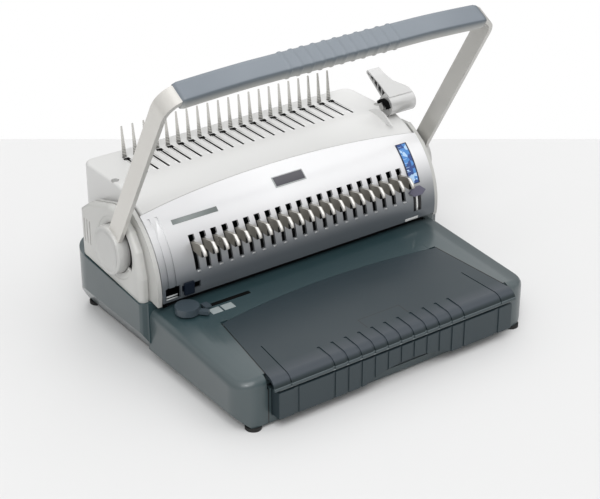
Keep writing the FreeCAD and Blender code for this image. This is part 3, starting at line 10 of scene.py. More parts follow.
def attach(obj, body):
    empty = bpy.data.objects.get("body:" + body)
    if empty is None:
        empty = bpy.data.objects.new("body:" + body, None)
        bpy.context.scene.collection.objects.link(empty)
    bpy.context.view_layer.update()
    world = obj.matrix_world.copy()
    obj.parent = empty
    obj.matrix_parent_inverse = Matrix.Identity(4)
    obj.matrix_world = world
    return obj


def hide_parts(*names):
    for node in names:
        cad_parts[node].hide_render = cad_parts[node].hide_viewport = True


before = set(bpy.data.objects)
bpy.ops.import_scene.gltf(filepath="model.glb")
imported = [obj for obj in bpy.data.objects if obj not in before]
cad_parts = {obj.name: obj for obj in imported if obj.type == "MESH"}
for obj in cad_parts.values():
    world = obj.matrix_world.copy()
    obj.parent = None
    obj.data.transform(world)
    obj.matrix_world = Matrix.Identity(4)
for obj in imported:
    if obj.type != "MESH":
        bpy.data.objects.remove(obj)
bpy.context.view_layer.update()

bl_info = {
    "name": "Comb binding machine",
    "version": (1, 0, 0),
    "blender": (4, 5, 0),
    "location": "View3D > Sidebar > Comb binder",
    "description": "Looks of a manual comb punch and binding machine on its fixed frame",
    "category": "Object",
}

# The machine's main places in metres, as in the CAD part
MM = 0.001
DRUM_Y, DRUM_Z, DRUM_R = 0.088, 0.090, 0.095    # axis and radius of the curved front panel
SEAT = DRUM_R - 0.0002                          # foot of the plates laid on the panel
PIVOT_Y, PIVOT_Z = 0.062, 0.124                 # axis of the handle
LEAN = math.radians(29.6)                       # lean of the raised handle towards the front
GRIP_OUT = 0.2528                               # from the handle's axis to the grip's centre line
ROOF_Z, LID_FRONT = 0.185, -0.1772              # top of the roof, and front face of the lid
PITCH = 0.0142875                               # spacing of the binding rings
RINGS = [PITCH * (k - 10) for k in range(21)]
CAMERA_AZ, CAMERA_EL = math.radians(-35.794), math.radians(27.853)


# Mesh making

def drum_point(radius, angle):
    """Point of the drum: y = 88 - r cos a, z = 90 + r sin a, with a in degrees above the front."""
    a = math.radians(angle)
    return DRUM_Y - radius * math.cos(a), DRUM_Z + radius * math.sin(a)


def add_object(name, verts, faces, material):
    """Smooth shaded object at the origin from vertex and face lists."""
    mesh = bpy.data.meshes.new(name)
    mesh.from_pydata([tuple(v) for v in verts], [], [tuple(f) for f in faces])
    mesh.update()
    piece = bpy.data.objects.new(name, mesh)
    bpy.context.scene.collection.objects.link(piece)
    mesh.materials.append(material)
    mesh.shade_smooth()
    return piece


def grid_object(name, rings, material):
    """Closed skin over rings of points, ring i joined to ring i+1, with a cap on both ends."""
    count, width = len(rings), len(rings[0])
    verts = np.asarray(rings, dtype=float).reshape(-1, 3)
    faces = []
    for i in range(count - 1):
        for j in range(width):
            k = (j + 1) % width
            faces.append((i * width + j, i * width + k, (i + 1) * width + k, (i + 1) * width + j))
    faces.append(tuple(range(width))[::-1])
    faces.append(tuple((count - 1) * width + j for j in range(width)))
    return add_object(name, verts, faces, material)


def soften(piece, width, segments=3, angle=35):
    """Bevel modifier with even shading on hard edges."""
    bevel = piece.modifiers.new("Softening", "BEVEL")
    bevel.width = width
    bevel.segments = segments
    bevel.limit_method = "ANGLE"
    bevel.angle_limit = math.radians(angle)
    bevel.harden_normals = True
    return piece


def drum_patch(name, x0, x1, low, high, inner, outer, material, steps=12):
    """Curved plate on the drum between two angles: points from drum_point on both faces."""
    rings = []
    for i in range(steps + 1):
        angle = low + (high - low) * i / steps
        (y0, z0), (y1, z1) = drum_point(inner, angle), drum_point(outer, angle)
        rings.append([(x0, y0, z0), (x1, y0, z0), (x1, y1, z1), (x0, y1, z1)])
    return grid_object(name, rings, material)


def lathe_x(name, profile, material):
    """Profile of (x, radius) turned about the handle's axis."""
    steps = 96
    turns = [2 * math.pi * j / steps for j in range(steps)]
    rings = [[(x, PIVOT_Y + r * math.cos(t), PIVOT_Z + r * math.sin(t)) for t in turns] for x, r in profile]
    return grid_object(name, rings, material)


def block(name, lows, highs, material):
    """Block between two corners with slightly bevelled edges."""
    bm = bmesh.new()
    bmesh.ops.create_cube(bm, size=1)
    for v in bm.verts:
        v.co = Vector([lows[i] if v.co[i] < 0 else highs[i] for i in range(3)])
    bmesh.ops.bevel(bm, geom=list(bm.edges), offset=0.0002, segments=2, affect="EDGES")
    mesh = bpy.data.meshes.new(name)
    bm.to_mesh(mesh)
    bm.free()
    mesh.shade_smooth()
    mesh.materials.append(material)
    piece = bpy.data.objects.new(name, mesh)
    bpy.context.scene.collection.objects.link(piece)
    return piece


def handle_place(points):
    """Points of the handle's own frame (x, across, along the arm) set on the pivot and leaned forward."""
    turn = Matrix.Rotation(LEAN, 3, "X")
    return [tuple(turn @ Vector(p) + Vector((0, PIVOT_Y, PIVOT_Z))) for p in points]


def deck_height(y):
    """Height of the deck, which falls from 70 mm at y = -7 mm to 60.2 mm at y = -160 mm."""
    slope = (70 - 60.2) / 153
    return (70 - slope * (-y * 1000 - 7)) * MM


def deck_patch(name, x0, x1, y0, y1, above, material):
    """Thin plate laid on the sloping deck and standing above it a little."""
    rings = []
    for y in (y0, y1):
        low, high = deck_height(y) - 0.0002, deck_height(y) + above
        rings.append([(x0, y, low), (x1, y, low), (x1, y, high), (x0, y, high)])
    return grid_object(name, rings, material)


# Materials

def tree_of(name):
    """Material with an empty tree but for its output and one Principled shader."""
    material = bpy.data.materials.get(name) or bpy.data.materials.new(name)
    material.use_nodes = True
    tree = material.node_tree
    tree.nodes.clear()
    out = tree.nodes.new("ShaderNodeOutputMaterial")
    shader = tree.nodes.new("ShaderNodeBsdfPrincipled")
    tree.links.new(shader.outputs["BSDF"], out.inputs["Surface"])
    return material, tree, shader


def maths_in(tree):
    """Maker of linked math nodes for one tree."""
    def maths(kind, *values):
        node = tree.nodes.new("ShaderNodeMath")
        node.operation = kind
        for socket, value in zip(node.inputs, values):
            if isinstance(value, (int, float)):
                socket.default_value = value
            else:
                tree.links.new(value, socket)
        return node.outputs[0]
    return maths


def ramp(maths, value, start, end):
    """Share of the way from start to end, clipped to 0 and 1."""
    share = maths("DIVIDE", maths("SUBTRACT", value, start), end - start)
    return maths("MINIMUM", maths("MAXIMUM", share, 0.0), 1.0)


def between(maths, value, low, high):
    """1 where the value lies between low and high, 0 elsewhere."""
    return maths("MULTIPLY", maths("GREATER_THAN", value, low), maths("LESS_THAN", value, high))


def blend(tree, factor, low, high):
    """Colour between two colours or sockets by a factor."""
    mix = tree.nodes.new("ShaderNodeMix")
    mix.data_type = "RGBA"
    for socket, value in ((mix.inputs["A"], low), (mix.inputs["B"], high)):
        if isinstance(value, tuple):
            socket.default_value = (*value, 1)
        else:
            tree.links.new(value, socket)
    tree.links.new(factor, mix.inputs["Factor"])
    return mix.outputs["Result"]


def coords_of(tree, word="Object"):
    """X, Y and Z of the shaded point in the machine's frame, or of its facing with the word Normal."""
    coords = tree.nodes.new("ShaderNodeTexCoord")
    split = tree.nodes.new("ShaderNodeSeparateXYZ")
    tree.links.new(coords.outputs[word], split.inputs[0])
    return split.outputs


def drum_place(tree, maths):
    """X across, radius and angle round the drum of the shaded point."""
    place = coords_of(tree)
    high = maths("SUBTRACT", place["Z"], DRUM_Z)
    ahead = maths("SUBTRACT", DRUM_Y, place["Y"])
    radius = maths("SQRT", maths("ADD", maths("MULTIPLY", high, high), maths("MULTIPLY", ahead, ahead)))
    angle = maths("MULTIPLY", maths("ARCTAN2", high, ahead), 180 / math.pi)
    return place["X"], radius, angle


def finish_group():
    """Node group for moulded and painted surfaces: slow drift of colour and roughness, and fine grain."""
    group = bpy.data.node_groups.get("SurfaceFinish")
    if group:
        return group
    group = bpy.data.node_groups.new("SurfaceFinish", "ShaderNodeTree")
    sock = group.interface.new_socket
    sock(name="Color", in_out="INPUT", socket_type="NodeSocketColor").default_value = (0.5, 0.5, 0.5, 1)
    for word, value in (("Drift", 0.08), ("Grain Scale", 1800), ("Rough", 0.4), ("Rough Spread", 0.12),
                        ("Stretch", 1.0)):
        sock(name=word, in_out="INPUT", socket_type="NodeSocketFloat").default_value = value
    for word, kind in (("Color", "NodeSocketColor"), ("Roughness", "NodeSocketFloat"),
                       ("Height", "NodeSocketFloat")):
        sock(name=word, in_out="OUTPUT", socket_type=kind)
    n, link, maths = group.nodes.new, group.links.new, maths_in(group)
    into, outof, coords = n("NodeGroupInput"), n("NodeGroupOutput"), n("ShaderNodeTexCoord")

    # Fine grain, drawn out along X where Stretch is below 1
    squeeze, scaled, grain = n("ShaderNodeCombineXYZ"), n("ShaderNodeVectorMath"), n("ShaderNodeTexNoise")
    squeeze.inputs["Y"].default_value = 1
    squeeze.inputs["Z"].default_value = 1
    link(into.outputs["Stretch"], squeeze.inputs["X"])
    scaled.operation = "MULTIPLY"
    link(coords.outputs["Object"], scaled.inputs[0])
    link(squeeze.outputs[0], scaled.inputs[1])
    grain.inputs["Detail"].default_value = 4
    link(scaled.outputs[0], grain.inputs["Vector"])
    link(into.outputs["Grain Scale"], grain.inputs["Scale"])
    link(grain.outputs["Fac"], outof.inputs["Height"])

    # Slow noise that drifts colour and roughness about their own values
    slow, tint = n("ShaderNodeTexNoise"), n("ShaderNodeVectorMath")
    slow.inputs["Scale"].default_value = 22
    slow.inputs["Detail"].default_value = 5
    link(coords.outputs["Object"], slow.inputs["Vector"])
    shade = maths("SUBTRACT", slow.outputs["Fac"], 0.5)
    lift = maths("ADD", maths("MULTIPLY", shade, into.outputs["Drift"]), 1.0)
    tint.operation = "SCALE"
    link(into.outputs["Color"], tint.inputs[0])
    link(lift, tint.inputs["Scale"])
    link(tint.outputs[0], outof.inputs["Color"])
    link(maths("MULTIPLY_ADD", shade, into.outputs["Rough Spread"], into.outputs["Rough"]),
         outof.inputs["Roughness"])
    return group


def finish_node(tree, values):
    """The finish group placed in one material with that material's own values."""
    node = tree.nodes.new("ShaderNodeGroup")
    node.node_tree = finish_group()
    for word, value in values.items():
        node.inputs[word].default_value = value
    return node


def surface(name, color, rough=0.4, metallic=0.0, drift=0.10, grain=900, bump=0.15, coat=0.0, stretch=1.0,
            specular=0.5):
    """Plastic, paint or metal with the finish group and a grain bump."""
    material, tree, shader = tree_of(name)
    node = finish_node(tree, {"Color": (*color, 1), "Drift": drift, "Grain Scale": grain, "Rough": rough,
                              "Rough Spread": 0.12, "Stretch": stretch})
    tree.links.new(node.outputs["Color"], shader.inputs["Base Color"])
    tree.links.new(node.outputs["Roughness"], shader.inputs["Roughness"])
    relief = tree.nodes.new("ShaderNodeBump")
    relief.inputs["Strength"].default_value = bump
    relief.inputs["Distance"].default_value = 0.00006
    tree.links.new(node.outputs["Height"], relief.inputs["Height"])
    tree.links.new(relief.outputs["Normal"], shader.inputs["Normal"])
    shader.inputs["Metallic"].default_value = metallic
    shader.inputs["Specular IOR Level"].default_value = specular
    shader.inputs["Coat Weight"].default_value = coat
    shader.inputs["Coat Roughness"].default_value = 0.12
    return material


MATERIALS = {}


def make_materials():
    """Every material under its own word, each from a name, a colour, a roughness and a metallic share."""
    m = MATERIALS
    m["slate"] = surface("SlatePlastic", (0.024, 0.050, 0.057), 0.40, bump=0.25, drift=0.10, coat=0.5)
    shade_base(m["slate"])
    m["lid"] = surface("LidPlastic", (0.015, 0.028, 0.036), 0.38, bump=0.25, drift=0.10)
    shade_lid(m["lid"])
    line_lid_gap(m["slate"])
    m["drawer"] = surface("DrawerPlastic", (0.024, 0.038, 0.045), 0.40, bump=0.25, drift=0.10)
    m["panel"] = surface("SilverPanel", (0.89, 0.89, 0.90), 0.34, 0.36, drift=0.03, bump=0.03, coat=0.25)
    shade_panel(m["panel"])
    m["cover"] = surface("CoverPlastic", (0.65, 0.65, 0.64), 0.36, 0.1, drift=0.03, bump=0.03, coat=0.12)
    shade_cover(m["cover"])
    paint_slot_shade(m["cover"])
    m["caps"] = surface("CapPlastic", (0.56, 0.56, 0.54), 0.36, 0.1, drift=0.04, bump=0.05, coat=0.12)
    shade_caps(m["caps"])
    m["pivots"] = surface("PivotCapPlastic", (0.53, 0.53, 0.515), 0.32, 0.1, drift=0.04, bump=0.05, coat=0.15)
    m["strap"] = surface("StrapLacquer", (0.60, 0.59, 0.56), 0.34, 0.3, drift=0.04, bump=0.04, coat=0.15)
    shade_strap(m["strap"])
    m["grip"] = surface("GripRubber", (0.225, 0.254, 0.287), 0.42, drift=0.10, grain=1100, bump=0.5)
    shade_grip(m["grip"])
    m["hooks"] = hook_material()
    m["tines"] = surface("TineSteel", (0.62, 0.61, 0.58), 0.20, 0.6, drift=0.05, grain=700, bump=0.03,
                         stretch=0.2)
    shade_tines(m["tines"])
    m["steel"] = surface("PlainSteel", (0.30, 0.30, 0.30), 0.4, 0.9, drift=0.08, grain=700, bump=0.08,
                         stretch=0.05)
    m["screws"] = surface("ScrewSteel", (0.42, 0.42, 0.41), 0.3, 0.9, drift=0.08, grain=700, bump=0.08)
    m["dark_steel"] = surface("DarkSteel", (0.03, 0.03, 0.032), 0.5, 0.6, drift=0.12, grain=700, bump=0.1)
    m["bronze"] = surface("OiledBronze", (0.60, 0.44, 0.22), 0.4, 1.0, drift=0.12, grain=1500, bump=0.12)
    m["lever"] = surface("LeverPlastic", (0.63, 0.63, 0.625), 0.24, 0.3, drift=0.03, bump=0.03, coat=0.6)
    m["pointer"] = surface("PointerPlastic", (0.12, 0.115, 0.165), 0.4, drift=0.1, bump=0.1)
    m["knob"] = surface("KnobPlastic", (0.048, 0.066, 0.080), 0.36, drift=0.08, bump=0.2, coat=0.1)
    m["navy"] = surface("NavyPlastic", (0.004, 0.008, 0.017), 0.34, drift=0.1, bump=0.1, specular=0.25)
    m["feet"] = surface("FootRubber", (0.012, 0.012, 0.012), 0.75, drift=0.2, bump=0.3)
    m["black"] = surface("BlackPlastic", (0.006, 0.006, 0.007), 0.55, drift=0.2, bump=0.15)
    m["shade"] = surface("DeepShade", (0.003, 0.003, 0.003), 0.9, drift=0.1, bump=0.05, specular=0.1)
    # Recess shade: a dark ring painted where the arm recess lies in shade
    m["liner"] = surface("RecessShade", (0.006, 0.006, 0.006), 0.7, drift=0.1, bump=0.05)
    shade_liner(m["liner"])
    m["badge"] = surface("BadgeFilm", (0.075, 0.072, 0.085), 0.3, drift=0.04, bump=0.03, coat=0.3)
    m["edge"] = surface("BrightEdge", (0.80, 0.80, 0.79), 0.25, 0.4, drift=0.04, bump=0.03)
    # Painted highlight colour for the slot lips
    m["bright"] = surface("SlotLipHighlight", (0.52, 0.53, 0.53), 0.3, 0.4, drift=0.04, bump=0.03)
    m["print"] = surface("PrintedGrey", (0.40, 0.42, 0.42), 0.5, drift=0.05, bump=0.03)
    m["label"] = surface("LabelFilm", (0.30, 0.34, 0.345), 0.45, drift=0.08, bump=0.05)
    m["label_bar"] = surface("LabelBar", (0.22, 0.245, 0.24), 0.45, drift=0.06, bump=0.04)
    m["lip"] = surface("LipPlastic", (0.17, 0.20, 0.21), 0.4, drift=0.06, bump=0.05)
    m["strip"] = scale_material()


def hook_material():
    """Plated hooks: taupe sides, narrow edges painted bright as highlights, and painted black shade inside
    the housing's radius.
    """
    material, tree, shader = tree_of("HookSteel")
    maths = maths_in(tree)
    across, radius, angle = drum_place(tree, maths)
    node = finish_node(tree, {"Drift": 0.15, "Grain Scale": 500, "Rough": 0.30, "Rough Spread": 0.2,
                              "Stretch": 1})

    # Flanks: a painted shadow on the claw's inner side below the line angle = 22.9 - 2.6 ((r - 113.2) /
    # 2.7)^2, and a painted highlight on a rim that comes in by 0.6 mm for every degree above 22 along the
    # hook's back
    reach = maths("DIVIDE", maths("SUBTRACT", radius, 0.1132), 0.0027)
    brow = maths("SUBTRACT", 22.9, maths("MULTIPLY", maths("MULTIPLY", reach, reach), 2.6))
    claw = maths("MULTIPLY", maths("LESS_THAN", angle, brow), maths("GREATER_THAN", radius, 0.1080))
    flank = blend(tree, claw, (0.25, 0.235, 0.205), (0.012, 0.011, 0.010))
    slant = maths("ADD", radius, maths("MULTIPLY", maths("SUBTRACT", angle, 22.0), 0.0006))
    flank = blend(tree, maths("GREATER_THAN", slant, 0.1149), flank, (0.82, 0.81, 0.77))

    # Edges: painted highlight outside, and painted shade in taupe towards the right of each hook's own middle
    # and at the foot
    edge = blend(tree, maths("GREATER_THAN", radius, 0.1122), (0.34, 0.33, 0.30), (0.90, 0.89, 0.86))
    turn = maths("FRACT", maths("ADD", maths("DIVIDE", across, PITCH), 20.5))
    beside = maths("MULTIPLY", maths("SUBTRACT", turn, 0.5), PITCH)
    right = maths("MULTIPLY", ramp(maths, beside, 0.0004, 0.0012), 0.8)
    edge = blend(tree, right, edge, (0.30, 0.28, 0.24))
    foot = maths("MULTIPLY", ramp(maths, angle, 21.6, 20.4), 0.7)
    edge = blend(tree, foot, edge, (0.22, 0.205, 0.18))

    side = maths("GREATER_THAN", maths("ABSOLUTE", coords_of(tree, "Normal")["X"]), 0.6)
    tree.links.new(blend(tree, side, edge, flank), node.inputs["Color"])
    # Painted shade: black inside the housing's radius, where the hooks sink into their slots
    outside = maths("GREATER_THAN", radius, SEAT)
    color = blend(tree, outside, (0.004, 0.004, 0.004), node.outputs["Color"])
    tree.links.new(color, shader.inputs["Base Color"])
    tree.links.new(node.outputs["Roughness"], shader.inputs["Roughness"])
    tree.links.new(maths("MULTIPLY", outside, 0.4), shader.inputs["Metallic"])
    return material


def scale_material():
    """Blue scale film: dark frame, rows with plain pale ticks and uneven pale and deep patches."""
    material, tree, shader = tree_of("ScaleFilm")
    maths = maths_in(tree)
    across, _, angle = drum_place(tree, maths)
    film_left, row_low, row_high = 0.1535, 20.0, 3.1
    place = maths("SUBTRACT", across, film_left)
    inset = maths("MULTIPLY", between(maths, place, 0.0018, 0.0142), between(maths, angle, 20.6, 49.9))
    row = maths("FRACT", maths("DIVIDE", maths("SUBTRACT", angle, row_low), row_high))
    tick = maths("MULTIPLY", maths("LESS_THAN", row, 0.10), maths("LESS_THAN", place, 0.0070))
    coords, cells = tree.nodes.new("ShaderNodeTexCoord"), tree.nodes.new("ShaderNodeTexVoronoi")
    cells.inputs["Scale"].default_value = 190
    tree.links.new(coords.outputs["Object"], cells.inputs["Vector"])
    tint = tree.nodes.new("ShaderNodeSeparateColor")
    tree.links.new(cells.outputs["Color"], tint.inputs[0])
    patch = blend(tree, maths("GREATER_THAN", tint.outputs[0], 0.45), (0.07, 0.25, 0.62), (0.46, 0.66, 0.90))
    patch = blend(tree, maths("GREATER_THAN", tint.outputs[1], 0.74), patch, (0.025, 0.07, 0.26))
    patch = blend(tree, tick, patch, (0.42, 0.60, 0.84))
    tree.links.new(blend(tree, inset, (0.012, 0.020, 0.055), patch), shader.inputs["Base Color"])
    shader.inputs["Roughness"].default_value = 0.32
    shader.inputs["Coat Weight"].default_value = 0.3
    return material


def retint(material, paint):
    """Send the colour that feeds a material's shader through one more step."""
    tree = material.node_tree
    shader = next(node for node in tree.nodes if node.type == "BSDF_PRINCIPLED")
    source = shader.inputs["Base Color"].links[0].from_socket
    tree.links.new(paint(tree, maths_in(tree), source), shader.inputs["Base Color"])


def paint_slot_shade(material):
    """Painted shade: the walls of the roof slots turn black just under the roof's skin."""
    def paint(tree, maths, source):
        place = coords_of(tree)
        row_half, row_front, row_rear, skin = 0.150, 0.090, 0.150, 0.00035
        low = maths("LESS_THAN", place["Z"], ROOF_Z - skin)
        row = maths("LESS_THAN", maths("ABSOLUTE", place["X"]), row_half)
        deep = between(maths, place["Y"], row_front, row_rear)
        dark = maths("MULTIPLY", low, maths("MULTIPLY", row, deep))
        return blend(tree, dark, source, (0.005, 0.005, 0.005))
    retint(material, paint)


def shade_panel(material):
    """Silver paint, greyer to the left by painted shade, that falls from pale under the seam to grey at the
    drum's foot as a painted reflection of the dark deck.
    """
    def paint(tree, maths, source):
        across, _, angle = drum_place(tree, maths)
        # Painted shade: greyer towards the left end
        source = blend(tree, ramp(maths, across, -0.02, -0.02 - 1 / 9), source, (0.74, 0.74, 0.75))
        # Painted reflection of the dark deck: darker towards the drum's foot
        share = ramp(maths, angle, 42.0, 0.0)
        soft = maths("MULTIPLY", maths("MULTIPLY", share, share),
                     maths("SUBTRACT", 3.0, maths("MULTIPLY", share, 2.0)))
        return blend(tree, soft, source, (0.12, 0.135, 0.15))
    retint(material, paint)


def shade_base(material):
    """Slate plastic, dark teal behind the lid, with a painted sheen that makes the sides, the front of the
    deck and the right end greyer.
    """
    def paint(tree, maths, source):
        place, facing = coords_of(tree), coords_of(tree, "Normal")
        # Painted sheen: paler where faces turn sideways, towards the deck's front and at the right end
        side = maths("MULTIPLY", ramp(maths, maths("ABSOLUTE", facing["X"]), 0.1, 0.6), 0.62)
        front = maths("MULTIPLY", ramp(maths, place["Y"], -0.05, -0.13), 0.40)
        right = maths("MULTIPLY", ramp(maths, place["X"], 0.12, 0.17), 0.40)
        share = maths("MINIMUM", maths("ADD", side, maths("ADD", front, right)), 0.85)
        return blend(tree, share, source, (0.072, 0.092, 0.097))
    retint(material, paint)


def shade_grip(material):
    """Soft grip: painted shade darkens its front face under the upper edge, a painted reflection of the floor
    makes it pale and warm along the lower one, and it is a little darker towards the ends.
    """
    def paint(tree, maths, source):
        place, facing = coords_of(tree), coords_of(tree, "Normal")
        wide = maths("ABSOLUTE", place["X"])
        lean_y, lean_z = -math.sin(LEAN), math.cos(LEAN)
        # Distance of the point from the pivot along the arms, and how far its face looks ahead of them;
        # the grip's middle line falls by 4.5 mm towards the ends
        out = maths("ADD", maths("MULTIPLY", maths("SUBTRACT", place["Y"], PIVOT_Y), lean_y),
                    maths("MULTIPLY", maths("SUBTRACT", place["Z"], PIVOT_Z), lean_z))
        ahead = maths("ADD", maths("MULTIPLY", facing["Y"], -lean_z), maths("MULTIPLY", facing["Z"], lean_y))
        fall = maths("MULTIPLY", ramp(maths, wide, 0.110, 0.196), 0.0045)
        high = maths("SUBTRACT", maths("ADD", out, fall), GRIP_OUT)
        # Painted shade under the upper edge of the front face, and a painted warm reflection of the floor
        # along its lower edge
        front = blend(tree, ramp(maths, high, 0.006, -0.004), (0.110, 0.134, 0.155), (0.48, 0.48, 0.46))
        ends = maths("MULTIPLY", ramp(maths, wide, 0.120, 0.170), 0.35)
        source = blend(tree, ends, source, (0.150, 0.175, 0.205))
        return blend(tree, ramp(maths, ahead, 0.30, 0.70), source, front)
    retint(material, paint)


def shade_caps(material):
    """End caps darker towards their low front part, as painted shade."""
    def paint(tree, maths, source):
        place = coords_of(tree)
        # Painted shade on the low front part
        front = maths("MULTIPLY", ramp(maths, place["Y"], 0.030, -0.005),
                      ramp(maths, place["Z"], 0.130, 0.090))
        return blend(tree, maths("MULTIPLY", front, 0.6), source, (0.38, 0.38, 0.365))
    retint(material, paint)


def shade_cover(material):
    """Roof a little paler towards its right end, as painted light."""
    def paint(tree, maths, source):
        # Painted light: paler towards the right end
        return blend(tree, ramp(maths, coords_of(tree)["X"], 0.06, 0.19), source, (0.78, 0.78, 0.77))
    retint(material, paint)


def shade_strap(material):
    """Left arm of the strap paler than the right one, as painted light on the arm that faces the lamp."""
    def paint(tree, maths, source):
        # Painted light on the left arm
        return blend(tree, ramp(maths, coords_of(tree)["X"], -0.15, -0.19), source, (0.68, 0.665, 0.63))
    retint(material, paint)


def shade_lid(material):
    """Lid: painted highlight along the bend, painted shade on the skirt below it, outline of a finger plate,
    and a paler band along its front.
    """
    def paint(tree, maths, source):
        place = coords_of(tree)
        # Painted highlight along the bend
        bend = maths("MULTIPLY", ramp(maths, place["Y"], -0.152, -0.166),
                     ramp(maths, place["Z"], 0.0530, 0.0565))
        source = blend(tree, maths("MULTIPLY", bend, 0.62), source, (0.050, 0.060, 0.076))
        # Painted shade on the skirt under the bend
        skirt = maths("MULTIPLY", ramp(maths, place["Z"], 0.0560, 0.0530),
                      ramp(maths, place["Y"], -0.168, -0.172))
        source = blend(tree, maths("MULTIPLY", skirt, 0.85), source, (0.004, 0.012, 0.014))

        # The finger plate's outline: depth is the way in from its slanting sides and its rear edge
        plate_half, plate_x, plate_rear = 0.0280, 0.0065, -0.132
        inset = maths("SUBTRACT", plate_half, maths("ABSOLUTE", maths("SUBTRACT", place["X"], plate_x)))
        ahead = maths("SUBTRACT", plate_rear, place["Y"])
        depth = maths("MINIMUM", maths("MULTIPLY", inset, 0.7), ahead)
        brow = maths("MULTIPLY", between(maths, depth, -0.0005, 0.0004), maths("LESS_THAN", ahead, 0.017))
        source = blend(tree, maths("MULTIPLY", brow, 0.85), source, (0.003, 0.006, 0.008))

        front = maths("LESS_THAN", place["Y"], LID_FRONT)
        band = maths("MULTIPLY", front, maths("LESS_THAN", place["Z"], 0.0512))
        line = maths("MULTIPLY", band, maths("GREATER_THAN", place["Z"], 0.0504))
        return blend(tree, line, blend(tree, band, source, (0.050, 0.066, 0.072)), (0.10, 0.125, 0.135))
    retint(material, paint)


def line_lid_gap(material):
    """Dark line on the deck along the lid's two sides, where the gap falls into shadow."""
    def paint(tree, maths, source):
        place = coords_of(tree)
        rear_half, flare, rear_edge, width = 0.1405, 0.13243, 0.0585, 0.0016
        reach = maths("MULTIPLY", place["Y"], -1.0)
        edge = maths("ADD", rear_half, maths("MULTIPLY", reach, flare))
        away = maths("SUBTRACT", maths("ABSOLUTE", place["X"]), edge)
        close = maths("MULTIPLY", between(maths, away, 0.0, width), maths("GREATER_THAN", reach, rear_edge))
        return blend(tree, close, source, (0.004, 0.006, 0.007))
    retint(material, paint)


def shade_liner(material):
    """Painted shade in the arm recess: black at the front, near the cap's own colour behind."""
    def paint(tree, maths, source):
        share = ramp(maths, coords_of(tree)["Y"], 0.040, 0.040 + 1 / 60)
        return blend(tree, share, source, (0.30, 0.30, 0.29))
    retint(material, paint)


def shade_tines(material):
    """Tines pale in their upper half, and darker at the foot by painted shade with painted slanting
    reflections of the slots.
    """
    def paint(tree, maths, source):
        place, half_height = coords_of(tree), 0.01825
        foot = ramp(maths, place["Z"], ROOF_Z + half_height, ROOF_Z)
        slant = maths("ADD", maths("MULTIPLY", place["Z"], 1900.0), maths("MULTIPLY", place["X"], 900.0))
        wave = maths("ADD", 0.55, maths("MULTIPLY", maths("SINE", slant), 0.35))
        # Painted shade with painted reflections of the slots at the foot
        return blend(tree, maths("MULTIPLY", foot, wave), source, (0.10, 0.10, 0.095))
    retint(material, paint)


NODE_MATERIALS = {
    "base_housing": "slate", "storage_lid": "lid", "chip_drawer": "drawer", "front_panel": "panel",
    "top_cover": "cover", "left_end_cap": "caps", "right_end_cap": "caps", "left_pivot_cap": "pivots",
    "right_pivot_cap": "pivots", "handle_bar": "strap", "hook_comb": "hooks", "tine_strip": "tines",
    "top_hook_bar": "steel", "comb_lever": "lever", "lever_bracket": "lever", "size_pointer": "pointer",
    "scale_strip": "strip", "margin_knob": "knob", "edge_guide": "knob", "depth_slider": "navy",
    "rubber_feet": "feet", "left_bearing": "bronze", "right_bearing": "bronze", "hub_collars": "black",
    "drawer_rails": "black", "handle_grip": "grip", "cover_screws": "screws", "lever_axle": "screws",
    "pressure_bar": "dark_steel", "punch_pins": "dark_steel", "left_yoke": "dark_steel",
    "right_yoke": "dark_steel", "main_shaft": "dark_steel", "left_eccentric": "dark_steel",
    "right_eccentric": "dark_steel", "lower_die_plate": "dark_steel", "upper_guide_plate": "dark_steel",
    "left_side_frame": "dark_steel", "right_side_frame": "dark_steel", "tie_rods": "dark_steel",
    "hook_pivots": "dark_steel",
}


def dress_nodes():
    """Detailed materials on the CAD nodes that stay."""
    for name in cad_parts:
        piece = bpy.data.objects.get(name)
        if piece is None:
            continue
        material = MATERIALS[NODE_MATERIALS.get(name, "steel")]
        for place in piece.material_slots:
            place.material = material


def make_grip(settings):
    """Handle grip: rounded oblong section swept along a shallow arch, with soft raised rings at mid-span.

    In the handle's frame the section at x is a superellipse |a/A|^n + |b/B|^n = 1 whose centre falls by
    the arch towards the ends, and rings add r(x) = h exp(-(dx / w)^4) at each ring's place.
    """
    half, deep, thick, power = 0.1957, 0.0128, 0.0080, 2 / 6.0
    flat_half, arch_drop = 0.104, 0.0050
    ring_pitch, ring_width, ring_height = 0.014, 0.0024, 0.0008
    end_length, end_pull = 0.003, 0.0009
    points = 72
    places = sorted(set(np.round(np.concatenate([
        np.linspace(-half, half, 90), np.linspace(-0.078, 0.078, 12 * 11 + 1)]), 6)))
    rings = []
    for x in places:
        along = max(0.0, (abs(x) - flat_half) / (half - flat_half))
        centre = GRIP_OUT - arch_drop * along ** 1.5
        swell = 0.0
        for k in range(settings.rings):
            gap = (x - ring_pitch * (k - (settings.rings - 1) / 2)) / ring_width
            swell += ring_height * math.exp(-gap ** 4)
        end = max(0.0, (abs(x) - half + end_length) / end_length)
        pull = end_pull * (1 - math.sqrt(max(0.0, 1 - end * end)))
        ring = []
        for j in range(points):
            t = 2 * math.pi * j / points
            c, s = math.cos(t), math.sin(t)
            a = (deep + swell - pull) * math.copysign(abs(c) ** power, c)
            b = (thick + swell - pull) * math.copysign(abs(s) ** power, s)
            ring.append((x, a + 0.0004, centre + b))
        rings.append(handle_place(ring))
    piece = grid_object("soft_grip", rings, MATERIALS["grip"])
    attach(piece, "handle")
    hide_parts("handle_grip")


